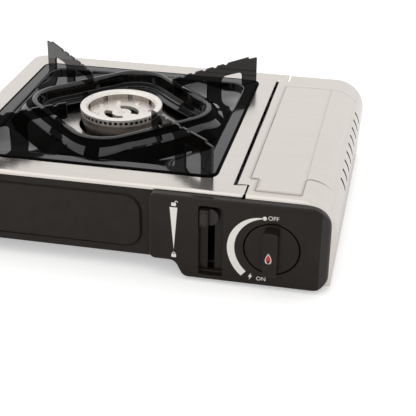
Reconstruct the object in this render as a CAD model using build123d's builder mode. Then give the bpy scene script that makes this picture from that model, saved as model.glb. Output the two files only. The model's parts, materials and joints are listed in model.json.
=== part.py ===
from build123d import *
import os
from math import cos, hypot, pi, radians, sin, sqrt, tan

# Overall sizes in millimetres: the front faces -Y, and the stove stands on Z = 0
STOVE_WIDTH = 336.0  # left lip of the top plate to the lid's right side
PLATE_DEPTH = 266.0  # front lip to rear lip of the top plate
PLATE_TOP = 78.0  # top plate above the table
CASE_BOTTOM = 13.6  # underside of the burner half above the table
BAY_BOTTOM = 4.0  # underside of the cartridge bay above the table
PANEL_PROUD = 8.0  # control panel face in front of the plate's lip
GRIP_REACH = 10.0  # knob grip in front of the control panel

# Sheet and wall thicknesses
CASE_SHEET = 1.0
PLATE_SHEET = 1.0
PAN_SHEET = 1.0
FIN_SHEET = 2.0
CARRIAGE_SHEET = 1.5
BRACKET_SHEET = 1.5
PANEL_WALL = 2.0

# Clearances
LIP_CLEARANCE = 0.2  # case wall behind a lip
SEAM = 0.4  # control panel to the lips behind its rim
SLIDE_CLEARANCE = 0.3  # each side of a sliding piece
SHAFT_CLEARANCE = 0.05  # round a turning shaft
WELL_CLEARANCE = 1.5  # pan tub to the well it drops into
LID_GAP = 1.8  # top plate's edge to the lid's edge
LID_INNER_GAP = 1.0  # bay walls inside the lid
TAB_GAP = 1.5  # top plate's tab to the lid's notch

# Lid over the cartridge bay
LID_WIDTH = 82.5
LID_BOTTOM = 4.5
SHOULDER_RADIUS = 28.0
SIDE_TAPER = 2.5
LID_FLANGE = 5.0
LID_RELIEF = 0.5
RELIEF_LEFT = 9.5
RELIEF_STEP = 6.7
RELIEF_FRONT = 9.0
RELIEF_STEP_DEPTH = 17.0
RELIEF_REAR = 14.0
VENT_COUNT = 9
VENT_PITCH = 17.75
VENT_FIRST = 72.0
VENT_WIDTH = 2.6
VENT_LOW = 12.4
VENT_HIGH = 23.4

# Lid hinge
HINGE_ROD_RADIUS = 1.5
HINGE_INSET = 4.0
HINGE_DROP = 3.2
HINGE_EYE_RADIUS = 3.2
HINGE_EAR_SHEET = 1.5
HINGE_EAR_SETBACK = 3.0
TAB_LENGTH = 17.5
TAB_REACH = 10.8

# Top plate and its well
LIP_HEIGHT = 4.0
PLATE_CORNER = 13.0
WELL_DEPTH = 8.5
WELL_CORNER = 15.0
WELL_HOLE_RADIUS = 44.0

# Case of the burner half
CASE_EDGE = 2.0
RAISED_DEPTH = 1.2
RAISED_TOP_MARGIN = 9.0
RAISED_BOTTOM_MARGIN = 7.0
RAISED_SIDE_MARGIN = 19.0
RAISED_RIGHT_MARGIN = 8.0
RAISED_RADIUS = 15.0
PANEL_SEAT = 5.0

# Cartridge bay
BAY_SIDE_HEIGHT = 22.0
BAY_END_DROP = 8.0  # end walls below the plate
BAY_END_SIDE = 40.0
BAY_END_TOP_INSET = 27.5
BAY_SETBACK = 5.0
CARTRIDGE_SIDE = 44.0  # cartridge axis from the lid's right side
CARTRIDGE_AXIS = 39.0  # cartridge axis above the table

# Drip pan
PAN_SIZE = 218.0
PAN_CORNER = 10.0
PAN_RIGHT_MARGIN = 15.2
PAN_FRONT_MARGIN = 24.3
PAN_FLANGE = 12.0
PAN_TUB_CORNER = 14.0
PAN_DEPTH = 5.0
COLLAR_RISE = 5.0  # collar's top above the plate
COLLAR_FOOT_RADIUS = 60.0
COLLAR_TOP_RADIUS = 58.0
PAN_HOLE_RADIUS = 54.5
RIB_DISTANCE = 62.5
RIB_MARGIN = 14.6  # rib ends inside the tub's walls
RIB_WIDTH = 8.0
RIB_HEIGHT = 2.5

# Pan supports: lengths out from the burner's axis, rises above the plate
FIN_INNER = 54.0
FIN_MARGIN = 1.5  # support's outer end inside the flange's corner
FIN_INNER_RISE = 23.0
FIN_OUTER_RISE = 27.5
FIN_TIP_RISE = 8.0
FIN_CREST_SHORT = 9.5  # crest's end before the outer end
FIN_CREST_DROP = 2.0
FIN_TIP_LENGTH = 8.0
FIN_ARCH_RISE = 14.0
FIN_ARCH_RADIUS = 5.0
FIN_MIDDLE_LEG_SHORT = 56.5  # middle leg's inner edge before the outer end
FIN_MIDDLE_LEG_WIDTH = 16.0
FIN_OUTER_LEG_WIDTH = 16.5
TOOTH_FIRST = 65.0
TOOTH_PITCH = 12.0
TOOTH_END_MARGIN = 20.0  # plain crest beyond the last notch
TOOTH_RADIUS = 2.6
TOOTH_DEPTH = 1.5

# Burner
BURNER_RISE = 9.5  # burner's rim above the plate
BURNER_RIM_RADIUS = 36.75
BURNER_RIM_THICK = 2.6
BURNER_WALL_RADIUS = 35.4
BOWL_RADIUS = 30.0
BOWL_MOUTH_RADIUS = 31.8
BOWL_DEPTH = 8.0
BOWL_FLOOR_THICK = 3.0
SPIGOT_RADIUS = 32.5
PORT_COUNT = 48
PORT_WIDTH = 2.4
PORT_HEIGHT = 3.0
PORT_DEPTH = 2.4
BOWL_SLOT_COUNT = 8
BOWL_SLOT_WIDTH = 3.0
BOWL_SLOT_DEPTH = 2.4
BOSS_CIRCLE = 23.5
BOSS_RADIUS = 2.4
BOSS_HEIGHT = 1.2
BOSS_BORE = 0.9
KIDNEY_INNER = 8.5
KIDNEY_OUTER = 15.5
KIDNEY_SPAN = 118.0
KIDNEY_TURN = 52.0
HEAD_HEIGHT = 7.0
BASE_HEIGHT = 32.5
BASE_LIP_RADIUS = 36.4
BASE_WAIST_RADIUS = 33.0
BASE_WAIST_DROP = 14.5
BASE_FOOT_RADIUS = 30.0
BASE_WALL = 3.0
BASE_AIR_RADIUS = 17.0

# Gas line
FEED_ANGLE = -41.0
FEED_DROP = 20.0  # mixing tube's axis below the plate
TUBE_RADIUS = 8.0
TUBE_WALL = 1.2
PIPE_RUN = 35.5  # jet holder to the pipe's corner, along the feed
JET_GAP = 5.0
JET_RADIUS = 3.5
JET_LENGTH = 8.0
JET_BORE = 0.4
HOLDER_RADIUS = 6.0
HOLDER_LENGTH = 7.0
PIPE_RADIUS = 3.0
PIPE_BORE = 2.0
PIPE_DROP = 13.0  # gas pipe's level run below the plate
PIPE_BEND = 9.0

# Burner bracket
BRACKET_WIDTH = 34.0
BRACKET_SPAN = 84.0
BRACKET_FOOT = 14.0

# Regulator and valve
REGULATOR_WIDTH = 28.0
REGULATOR_HEIGHT = 30.0
REGULATOR_LENGTH = 36.0
REGULATOR_BOSS_RADIUS = 8.5
NOSE_RADIUS = 10.0
NOSE_LENGTH = 9.0
SOCKET_RADIUS = 6.0
SOCKET_DEPTH = 6.0
SEAL_BORE = 3.0
SEAL_THICK = 2.5
CAP_RADIUS = 14.0
CAP_THICK = 8.0
OUTLET_RADIUS = 5.0
OUTLET_HEIGHT = 6.0
STEM_RADIUS = 3.0
STEM_DEPTH = 12.0

# Igniter
PIEZO_WIDTH = 12.0
PIEZO_HEIGHT = 12.0
PIEZO_LENGTH = 28.0
PIEZO_NIB = 3.0
LEAD_RADIUS = 1.4
BEND_SHARE = 0.45
ELECTRODE_ANGLE = 100.0
ELECTRODE_CIRCLE = 40.0
INSULATOR_RADIUS = 2.8
INSULATOR_LENGTH = 25.5
INSULATOR_DROP = 0.5
PIN_RADIUS = 0.8
PIN_RISE = 5.5

# Control panel
PANEL_WIDTH = 142.7
PANEL_RIGHT_INSET = 4.3
PANEL_BOTTOM = 3.0
PANEL_TOP_DROP = 2.7
PANEL_STEP_LEFT = 20.0
PANEL_STEP_RUN = 7.0
PANEL_STEP_LEVEL = 17.0
PANEL_TOP_RIGHT_RADIUS = 16.5
PANEL_BOTTOM_RIGHT_RADIUS = 12.0
PANEL_LEFT_RADIUS = 5.0
PANEL_STEP_RADIUS = 7.0
PANEL_EDGE = 2.0
PANEL_SIDE_BEVEL = 7.0
PANEL_SIDE_BEVEL_DEPTH = 5.0
PANEL_LIP_REBATE = 8.0

# Knob
KNOB_INSET = 49.0  # knob axis from the lid's right side
KNOB_AXIS = 37.0  # knob axis above the table
KNOB_RADIUS = 21.6
KNOB_CLEARANCE = 0.8
KNOB_CUP_DEPTH = 9.0
KNOB_THICK = 7.0
GRIP_WIDTH = 11.5
GRIP_LENGTH = 38.0
GRIP_EDGE = 2.0
KNOB_HUB_RADIUS = 6.0

# Lock lever
LEVER_INSET = 98.0  # lever's slot from the lid's right side
LEVER_TRAVEL = 40.0
LEVER_REST = 58.3
LEVER_CUP_WIDTH = 18.8
LEVER_CUP_BOTTOM = 7.1
LEVER_CUP_TOP = 68.5
LEVER_CUP_DEPTH = 7.0
LEVER_SLOT_WIDTH = 5.0
PAD_SIZE = 16.0
PAD_THICK = 4.5
PAD_RIDGE_WIDTH = 8.0
PAD_RIDGE = 3.5
NECK_WIDTH = 4.4
NECK_HEIGHT = 8.0
NECK_DROP = 2.5
SLIDER_WIDTH = 13.0
SLIDER_HEIGHT = 14.0
SLIDER_LENGTH = 20.7
RAIL_WIDTH = 2.0
RAIL_DEPTH = 4.5
LEVER_PIN_RADIUS = 2.0
LEVER_PIN_RISE = 6.5
LEVER_PIN_SETBACK = 16.7

# Cartridge carriage
CARRIAGE_TRAVEL = 8.0
CARRIAGE_OFFSET = 10.25  # carriage plate's middle from the lever's slot
CARRIAGE_MARGIN = 3.0
ARM_BOTTOM = 28.0
ARM_TOP = 60.5
HOOK_Y = 53.3  # hook plate behind the plate's front lip
HOOK_BOTTOM = 18.0
HOOK_TOP = 52.0
HOOK_REACH = 22.0
FORK_RADIUS = 15.0
STUD_RADIUS = 2.0
STUD_HEAD_RADIUS = 3.5
STUD_HEAD = 1.3
STUD_SETBACK = 37.0
STUD_LEVELS = (33.0, 55.0)

# Feet and screws
FOOT_RADIUS = 11.0
FOOT_TAPER = 1.5
FOOT_INSET = 30.0
BAY_FOOT_INSET = 44.0
FOOT_WEB = 1.6  # rubber between the screw's head and the case
SCREW_RADIUS = 1.6
SCREW_HEAD_RADIUS = 3.2
SCREW_HEAD = 1.6
SCREW_GRIP = 5.0
SCREW_SLOT = 0.9
PANEL_BOSS_RADIUS = 4.0

# Places that follow from the sizes above
LEFT = -STOVE_WIDTH / 2
RIGHT = STOVE_WIDTH / 2
REAR = (PLATE_DEPTH + PANEL_PROUD + GRIP_REACH) / 2
PLATE_FRONT = REAR - PLATE_DEPTH
PANEL_FACE = PLATE_FRONT - PANEL_PROUD
LID_LEFT = RIGHT - LID_WIDTH
PLATE_RIGHT = LID_LEFT - LID_GAP
LIP_BOTTOM = PLATE_TOP - LIP_HEIGHT
CASE_TOP = PLATE_TOP - PLATE_SHEET
CASE_LEFT = LEFT + PLATE_SHEET + LIP_CLEARANCE
CASE_FRONT = PLATE_FRONT + PLATE_SHEET + LIP_CLEARANCE
CASE_REAR = REAR - PLATE_SHEET - LIP_CLEARANCE
CASE_FLOOR = CASE_BOTTOM + CASE_SHEET
BAY_LEFT = PLATE_RIGHT - PLATE_SHEET - CASE_SHEET
BAY_RIGHT = RIGHT - SIDE_TAPER - PLATE_SHEET - LID_INNER_GAP
BAY_FRONT = PLATE_FRONT + BAY_SETBACK
BAY_REAR = CASE_REAR
BURNER_X = PLATE_RIGHT - PAN_RIGHT_MARGIN - PAN_SIZE / 2
BURNER_Y = PLATE_FRONT + PAN_FRONT_MARGIN + PAN_SIZE / 2
TUB_HALF = PAN_SIZE / 2 - PAN_FLANGE
PAN_FLOOR = PLATE_TOP - PAN_DEPTH
WELL_FLOOR_TOP = PLATE_TOP - WELL_DEPTH
COLLAR_TOP = PLATE_TOP + COLLAR_RISE
RIB_LENGTH = 2 * (sqrt(2) * (TUB_HALF - RIB_MARGIN) - RIB_DISTANCE)
FIN_OUTER = sqrt(2) * (PAN_SIZE / 2 - PAN_CORNER) + PAN_CORNER - FIN_MARGIN
FIN_CREST_END = FIN_OUTER - FIN_CREST_SHORT
FIN_OUTER_LEG = FIN_OUTER - FIN_OUTER_LEG_WIDTH
FIN_MIDDLE_LEG_IN = FIN_OUTER - FIN_MIDDLE_LEG_SHORT
FIN_INNER_TOP = PLATE_TOP + FIN_INNER_RISE
FIN_OUTER_TOP = PLATE_TOP + FIN_OUTER_RISE
FIN_TIP_BOTTOM = PLATE_TOP + FIN_TIP_RISE
FIN_ARCH_TOP = PLATE_TOP + FIN_ARCH_RISE
BURNER_TOP = PLATE_TOP + BURNER_RISE
BASE_JOINT = BURNER_TOP - HEAD_HEIGHT
BASE_BOTTOM = BASE_JOINT - BASE_HEIGHT
BASE_WAIST = BASE_JOINT - BASE_WAIST_DROP
FEED_HEIGHT = PLATE_TOP - FEED_DROP
PIPE_LEVEL = PLATE_TOP - PIPE_DROP
INSULATOR_TOP = PLATE_TOP - INSULATOR_DROP
INSULATOR_BOTTOM = INSULATOR_TOP - INSULATOR_LENGTH
PIN_TOP = PLATE_TOP + PIN_RISE
PANEL_TOP = PLATE_TOP - PANEL_TOP_DROP
HINGE_X = LID_LEFT + HINGE_INSET
HINGE_Z = PLATE_TOP - HINGE_DROP
TAB_RIGHT = PLATE_RIGHT + TAB_REACH
TAB_FRONT_END = PLATE_FRONT + TAB_LENGTH
TAB_REAR_START = REAR - TAB_LENGTH
PANEL_RIGHT = RIGHT - PANEL_RIGHT_INSET
PANEL_LEFT = PANEL_RIGHT - PANEL_WIDTH
KNOB_X = RIGHT - KNOB_INSET
LEVER_X = RIGHT - LEVER_INSET
CARTRIDGE_X = RIGHT - CARTRIDGE_SIDE
CARRIAGE_X = LEVER_X + CARRIAGE_OFFSET
HOOK_PLANE = PLATE_FRONT + HOOK_Y
STUD_Y = PLATE_FRONT + STUD_SETBACK
KNOB_FLOOR = PANEL_FACE + KNOB_CUP_DEPTH
LEVER_FLOOR = PANEL_FACE + LEVER_CUP_DEPTH
LEVER_FLOOR_BACK = LEVER_FLOOR + PANEL_WALL
SLIDER_FRONT = LEVER_FLOOR_BACK + SLIDE_CLEARANCE
LEVER_PIN_Y = SLIDER_FRONT + LEVER_PIN_SETBACK
LEVER_PIN_Z = LEVER_REST + LEVER_PIN_RISE
REGULATOR_FRONT = BAY_FRONT + CASE_SHEET
REGULATOR_REAR = REGULATOR_FRONT + REGULATOR_LENGTH
REGULATOR_TOP = KNOB_AXIS + REGULATOR_HEIGHT / 2
REGULATOR_LEFT = KNOB_X - REGULATOR_WIDTH / 2
NOSE_END = REGULATOR_REAR + NOSE_LENGTH
FEED = (cos(radians(FEED_ANGLE)), sin(radians(FEED_ANGLE)))
OUTLET_X = REGULATOR_LEFT + OUTLET_RADIUS
OUTLET_Y = REGULATOR_REAR - OUTLET_RADIUS
PIPE_CORNER_X = CARRIAGE_X - PIPE_BEND
FEED_REACH = (PIPE_CORNER_X - BURNER_X) * FEED[0] + (OUTLET_Y - BURNER_Y) * FEED[1]
PIPE_START = FEED_REACH - PIPE_RUN
HOLDER_START = PIPE_START - HOLDER_LENGTH
JET_START = HOLDER_START - JET_LENGTH
TUBE_END = JET_START - JET_GAP
PIEZO_X = KNOB_X + PIEZO_WIDTH / 2
PIEZO_Z = REGULATOR_TOP + PIEZO_HEIGHT / 2
PIEZO_END = REGULATOR_FRONT + PIEZO_LENGTH + PIEZO_NIB
ELECTRODE_X = BURNER_X + ELECTRODE_CIRCLE * cos(radians(ELECTRODE_ANGLE))
ELECTRODE_Y = BURNER_Y + ELECTRODE_CIRCLE * sin(radians(ELECTRODE_ANGLE))

RIM_BACK = PLATE_FRONT - SEAM
PANEL_BOSSES = ((RIGHT - 20.0, 16.0), (RIGHT - 76.0, 62.0))
REGULATOR_SCREWS = ((KNOB_X - 10.5, KNOB_AXIS + 11.5), (KNOB_X + 10.5, KNOB_AXIS - 11.5))
FEET = {
    "front_left": (LEFT + FOOT_INSET, PLATE_FRONT + FOOT_INSET, CASE_BOTTOM),
    "rear_left": (LEFT + FOOT_INSET, REAR - FOOT_INSET, CASE_BOTTOM),
    "front_right": (RIGHT - BAY_FOOT_INSET, PLATE_FRONT + FOOT_INSET, BAY_BOTTOM),
    "rear_right": (RIGHT - BAY_FOOT_INSET, REAR - FOOT_INSET, BAY_BOTTOM),
}

REARWARD = (0, 1, 0)

os.makedirs("parts", exist_ok=True)


def front_plane(y):
    """Upright plane at depth y, seen from the front; a negative extrusion goes to the rear."""
    return Plane.XZ.offset(-y)


def box_sketch(low, high):
    """Rectangle between two corners of the sketch's plane."""
    with Locations(((low[0] + high[0]) / 2, (low[1] + high[1]) / 2)):
        Rectangle(high[0] - low[0], high[1] - low[1])


def feed_point(distance, height=FEED_HEIGHT):
    """Point along the gas feed, measured out from the burner's axis."""
    return (BURNER_X + FEED[0] * distance, BURNER_Y + FEED[1] * distance, height)


def feed_plane(distance):
    """Plane square to the gas feed at a distance from the burner's axis."""
    return Plane(origin=feed_point(distance), x_dir=(0, 0, 1), z_dir=(*FEED, 0))


# Case of the burner half, with a raised field pressed into its front
with BuildPart() as burner_case:
    with BuildSketch(Plane.XY.offset(CASE_BOTTOM)) as case_outline:
        box_sketch((CASE_LEFT, CASE_FRONT), (BAY_LEFT, CASE_REAR))
        fillet(case_outline.vertices().group_by(Axis.X)[0], PLATE_CORNER - PLATE_SHEET)
    extrude(amount=CASE_TOP - CASE_BOTTOM)
    case_underside = burner_case.faces().sort_by(Axis.Z)[0]
    fillet(case_underside.edges().sort_by(Axis.X)[:-1], CASE_EDGE)
    with BuildSketch(Plane.XY.offset(CASE_FLOOR)) as case_hollow:
        box_sketch(
            (CASE_LEFT + CASE_SHEET, CASE_FRONT + CASE_SHEET),
            (BAY_LEFT + CASE_SHEET, CASE_REAR - CASE_SHEET),
        )
        fillet(
            case_hollow.vertices().group_by(Axis.X)[0],
            PLATE_CORNER - PLATE_SHEET - CASE_SHEET,
        )
    extrude(amount=CASE_TOP, mode=Mode.SUBTRACT)
    raised_low = (CASE_LEFT + RAISED_SIDE_MARGIN, CASE_BOTTOM + RAISED_BOTTOM_MARGIN)
    raised_high = (PANEL_LEFT - RAISED_RIGHT_MARGIN, CASE_TOP - RAISED_TOP_MARGIN)
    with BuildSketch(front_plane(CASE_FRONT)) as raised_field:
        box_sketch(raised_low, raised_high)
        fillet(raised_field.vertices(), RAISED_RADIUS)
    extrude(amount=RAISED_DEPTH, taper=45)
    with BuildSketch(front_plane(CASE_FRONT + CASE_SHEET)) as raised_hollow:
        inset = RAISED_DEPTH + CASE_SHEET / 2
        box_sketch(
            (raised_low[0] + inset, raised_low[1] + inset),
            (raised_high[0] - inset, raised_high[1] - inset),
        )
        fillet(raised_hollow.vertices(), RAISED_RADIUS - inset)
    extrude(amount=RAISED_DEPTH, mode=Mode.SUBTRACT)
    with BuildSketch(front_plane(CASE_FRONT)) as panel_opening:
        box_sketch((PANEL_LEFT + PANEL_SEAT, CASE_FLOOR), (BAY_LEFT, CASE_TOP))
    extrude(amount=-CASE_SHEET, mode=Mode.SUBTRACT)
    with BuildSketch(Plane.XY.offset(CASE_BOTTOM)) as case_foot_holes:
        with Locations(FEET["front_left"][:2], FEET["rear_left"][:2]):
            Circle(SCREW_RADIUS)
    extrude(amount=CASE_SHEET, mode=Mode.SUBTRACT)
burner_case.part.label = "burner_case"
export_step(burner_case.part, "parts/burner_case.step")

# Trough for the cartridge: partition, floor and low side, between the bay's two end walls
WINDOW_FRONT = HOOK_PLANE - CARRIAGE_TRAVEL - 2 * CARRIAGE_SHEET
TROUGH_FRONT = BAY_FRONT + CASE_SHEET
TROUGH_REAR = BAY_REAR - CASE_SHEET
with BuildPart() as bay_trough:
    with BuildSketch(Plane.YZ.offset(BAY_LEFT)) as partition:
        box_sketch((TROUGH_FRONT, BAY_BOTTOM), (TROUGH_REAR, CASE_TOP))
        with Locations(
            ((WINDOW_FRONT + HOOK_PLANE + CARRIAGE_SHEET) / 2, (HOOK_BOTTOM + HOOK_TOP) / 2)
        ):
            Rectangle(
                HOOK_PLANE + CARRIAGE_SHEET - WINDOW_FRONT,
                HOOK_TOP - HOOK_BOTTOM + 2 * CARRIAGE_SHEET,
                mode=Mode.SUBTRACT,
            )
        with Locations((OUTLET_Y, PIPE_LEVEL)):
            Circle(PIPE_RADIUS + LID_INNER_GAP, mode=Mode.SUBTRACT)
        with Locations((HOOK_PLANE, PIPE_LEVEL)):
            Circle(LEAD_RADIUS + LID_INNER_GAP, mode=Mode.SUBTRACT)
    extrude(amount=CASE_SHEET)
    with BuildSketch(Plane.XY.offset(BAY_BOTTOM)) as bay_floor:
        box_sketch((BAY_LEFT, TROUGH_FRONT), (BAY_RIGHT, TROUGH_REAR))
    extrude(amount=CASE_SHEET)
    with BuildSketch(Plane.YZ.offset(BAY_RIGHT - CASE_SHEET)) as bay_side:
        box_sketch((TROUGH_FRONT, BAY_BOTTOM), (TROUGH_REAR, BAY_BOTTOM + BAY_SIDE_HEIGHT))
    extrude(amount=CASE_SHEET)
    with BuildSketch(Plane.XY.offset(BAY_BOTTOM)) as bay_foot_holes:
        with Locations(FEET["front_right"][:2], FEET["rear_right"][:2]):
            Circle(SCREW_RADIUS)
    extrude(amount=CASE_SHEET, mode=Mode.SUBTRACT)
bay_trough.part.label = "bay_trough"
export_step(bay_trough.part, "parts/bay_trough.step")

# End walls of the bay: both carry the hinge rod, and the front one also the regulator and the panel
for wall_name, wall_front in (("bay_front_wall", BAY_FRONT), ("bay_rear_wall", TROUGH_REAR)):
    with BuildPart() as bay_wall:
        with BuildSketch(front_plane(wall_front)) as bay_end:
            with BuildLine() as bay_end_outline:
                Polyline(
                    (BAY_LEFT, BAY_BOTTOM),
                    (BAY_RIGHT, BAY_BOTTOM),
                    (BAY_RIGHT, BAY_BOTTOM + BAY_END_SIDE),
                    (BAY_RIGHT - BAY_END_TOP_INSET, PLATE_TOP - BAY_END_DROP),
                    (BAY_LEFT, PLATE_TOP - BAY_END_DROP),
                    close=True,
                )
            make_face()
            box_sketch(
                (HINGE_X - HINGE_EYE_RADIUS, BAY_BOTTOM + BAY_END_SIDE),
                (HINGE_X + HINGE_EYE_RADIUS, CASE_TOP - SLIDE_CLEARANCE),
            )
            with Locations((HINGE_X, HINGE_Z)):
                Circle(HINGE_ROD_RADIUS, mode=Mode.SUBTRACT)
            if wall_name == "bay_front_wall":
                with Locations((KNOB_X, KNOB_AXIS)):
                    Circle(REGULATOR_BOSS_RADIUS + LIP_CLEARANCE, mode=Mode.SUBTRACT)
                with Locations(*PANEL_BOSSES, *REGULATOR_SCREWS):
                    Circle(SCREW_RADIUS, mode=Mode.SUBTRACT)
        extrude(amount=-CASE_SHEET)
    bay_wall.part.label = wall_name
    export_step(bay_wall.part, f"parts/{wall_name}.step")


def plate_outline(inset, tab_inset):
    """Top plate seen from above: a rectangle with a tab over each end of the lid's hinge."""
    box_sketch((LEFT + inset, PLATE_FRONT + inset), (PLATE_RIGHT - inset, REAR - inset))
    box_sketch(
        (PLATE_RIGHT - PLATE_CORNER, PLATE_FRONT + inset),
        (TAB_RIGHT + tab_inset, TAB_FRONT_END + tab_inset),
    )
    box_sketch(
        (PLATE_RIGHT - PLATE_CORNER, TAB_REAR_START - tab_inset),
        (TAB_RIGHT + tab_inset, REAR - inset),
    )


# Stainless top plate: lips all round, and a well under the drip pan
with BuildPart() as top_plate:
    with BuildSketch(Plane.XY.offset(LIP_BOTTOM)) as plate_sheet:
        plate_outline(0, 0)
        fillet(plate_sheet.vertices().group_by(Axis.X)[0], PLATE_CORNER)
    extrude(amount=LIP_HEIGHT)
    with BuildSketch(Plane.XY.offset(LIP_BOTTOM)) as plate_hollow:
        plate_outline(PLATE_SHEET, PLATE_SHEET)
        fillet(plate_hollow.vertices().group_by(Axis.X)[0], PLATE_CORNER - PLATE_SHEET)
    extrude(amount=LIP_HEIGHT - PLATE_SHEET, mode=Mode.SUBTRACT)
    well_size = 2 * (TUB_HALF + WELL_CLEARANCE)
    with BuildSketch(Plane.XY.offset(WELL_FLOOR_TOP - PLATE_SHEET)) as well_outside:
        with Locations((BURNER_X, BURNER_Y)):
            RectangleRounded(
                well_size + 2 * PLATE_SHEET, well_size + 2 * PLATE_SHEET, WELL_CORNER + PLATE_SHEET
            )
    extrude(amount=PLATE_TOP - WELL_FLOOR_TOP + PLATE_SHEET)
    with BuildSketch(Plane.XY.offset(WELL_FLOOR_TOP)) as well_inside:
        with Locations((BURNER_X, BURNER_Y)):
            RectangleRounded(well_size, well_size, WELL_CORNER)
    extrude(amount=PLATE_TOP - WELL_FLOOR_TOP, mode=Mode.SUBTRACT)
    with BuildSketch(Plane.XY.offset(WELL_FLOOR_TOP)) as well_hole:
        with Locations((BURNER_X, BURNER_Y)):
            Circle(WELL_HOLE_RADIUS)
    extrude(amount=-PLATE_SHEET, mode=Mode.SUBTRACT)
top_plate.part.label = "top_plate"
export_step(top_plate.part, "parts/top_plate.step")


def lid_section(inset, overrun):
    """Region under the lid's outer line, moved in by inset: flat top, round shoulder, tapered side."""
    with BuildLine() as lid_line:
        top = Line((LID_LEFT - overrun, PLATE_TOP - inset), (RIGHT - SHOULDER_RADIUS, PLATE_TOP - inset))
        shoulder = CenterArc(
            (RIGHT - SHOULDER_RADIUS, PLATE_TOP - SHOULDER_RADIUS), SHOULDER_RADIUS - inset, 90, -90
        )
        foot = (RIGHT - SIDE_TAPER - inset, LID_BOTTOM - overrun)
        Polyline(shoulder @ 1, foot, (LID_LEFT - overrun, LID_BOTTOM - overrun), top @ 0)
    make_face(lid_line.edges())


# Lid over the cartridge bay: folded stainless sheet with end flanges, vents and hinge ears
with BuildPart() as lid:
    with BuildSketch(front_plane(PLATE_FRONT)) as lid_outside:
        lid_section(0, 0)
    extrude(amount=-PLATE_DEPTH)
    with BuildSketch(front_plane(PLATE_FRONT + PLATE_SHEET)) as lid_inside:
        lid_section(PLATE_SHEET, PLATE_SHEET)
    extrude(amount=-(PLATE_DEPTH - 2 * PLATE_SHEET), mode=Mode.SUBTRACT)
    with BuildSketch(front_plane(PLATE_FRONT)) as lid_mouth:
        lid_section(LID_FLANGE, LID_FLANGE)
    extrude(amount=-PLATE_DEPTH, mode=Mode.SUBTRACT)
    with BuildSketch(Plane.XY.offset(LIP_BOTTOM - LID_FLANGE)) as tab_notches:
        notch_right = TAB_RIGHT + TAB_GAP
        for notch_front, notch_rear in (
            (PLATE_FRONT, TAB_FRONT_END + LID_INNER_GAP),
            (TAB_REAR_START - LID_INNER_GAP, REAR),
        ):
            box_sketch((LID_LEFT, notch_front), (notch_right, notch_rear))
    extrude(amount=LIP_HEIGHT + LID_FLANGE, mode=Mode.SUBTRACT)
    with BuildSketch(Plane.XY.offset(PLATE_TOP)) as relief:
        with BuildLine() as relief_outline:
            Polyline(
                (LID_LEFT + RELIEF_LEFT, REAR - RELIEF_REAR - TAB_LENGTH),
                (LID_LEFT + RELIEF_LEFT, PLATE_FRONT + RELIEF_FRONT + RELIEF_STEP_DEPTH),
                (LID_LEFT + RELIEF_LEFT + RELIEF_STEP, PLATE_FRONT + RELIEF_FRONT + RELIEF_STEP_DEPTH),
                (LID_LEFT + RELIEF_LEFT + RELIEF_STEP, PLATE_FRONT + RELIEF_FRONT),
                (RIGHT - SHOULDER_RADIUS, PLATE_FRONT + RELIEF_FRONT),
                (RIGHT - SHOULDER_RADIUS, REAR - RELIEF_REAR - TAB_LENGTH),
                close=True,
            )
        make_face()
    extrude(amount=LID_RELIEF, taper=45)
    for vent in range(VENT_COUNT):
        vent_y = PLATE_FRONT + VENT_FIRST + vent * VENT_PITCH
        with BuildSketch(Plane.YZ.offset(RIGHT - SHOULDER_RADIUS)) as vent_slot:
            with Locations((vent_y, PLATE_TOP - (VENT_LOW + VENT_HIGH) / 2)):
                SlotOverall(VENT_HIGH - VENT_LOW, VENT_WIDTH, rotation=90)
        extrude(amount=SHOULDER_RADIUS, mode=Mode.SUBTRACT)
    for ear_y in (
        TAB_FRONT_END + HINGE_EAR_SETBACK,
        TAB_REAR_START - HINGE_EAR_SETBACK - HINGE_EAR_SHEET,
    ):
        with BuildSketch(front_plane(ear_y)) as hinge_ear:
            with Locations((HINGE_X, HINGE_Z)):
                Circle(HINGE_EYE_RADIUS)
            box_sketch((HINGE_X - HINGE_EYE_RADIUS, HINGE_Z), (HINGE_X + HINGE_EYE_RADIUS, PLATE_TOP))
            with Locations((HINGE_X, HINGE_Z)):
                Circle(HINGE_ROD_RADIUS + SHAFT_CLEARANCE, mode=Mode.SUBTRACT)
        extrude(amount=-HINGE_EAR_SHEET)
lid.part.label = "lid"
export_step(lid.part, "parts/lid.step")

# Rod that the lid's ears turn on, held in the bay's end walls
with BuildPart() as hinge_rod:
    with BuildSketch(front_plane(BAY_FRONT)) as rod_section:
        with Locations((HINGE_X, HINGE_Z)):
            Circle(HINGE_ROD_RADIUS)
    extrude(amount=-(BAY_REAR - BAY_FRONT))
hinge_rod.part.label = "hinge_rod"
export_step(hinge_rod.part, "parts/hinge_rod.step")

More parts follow.
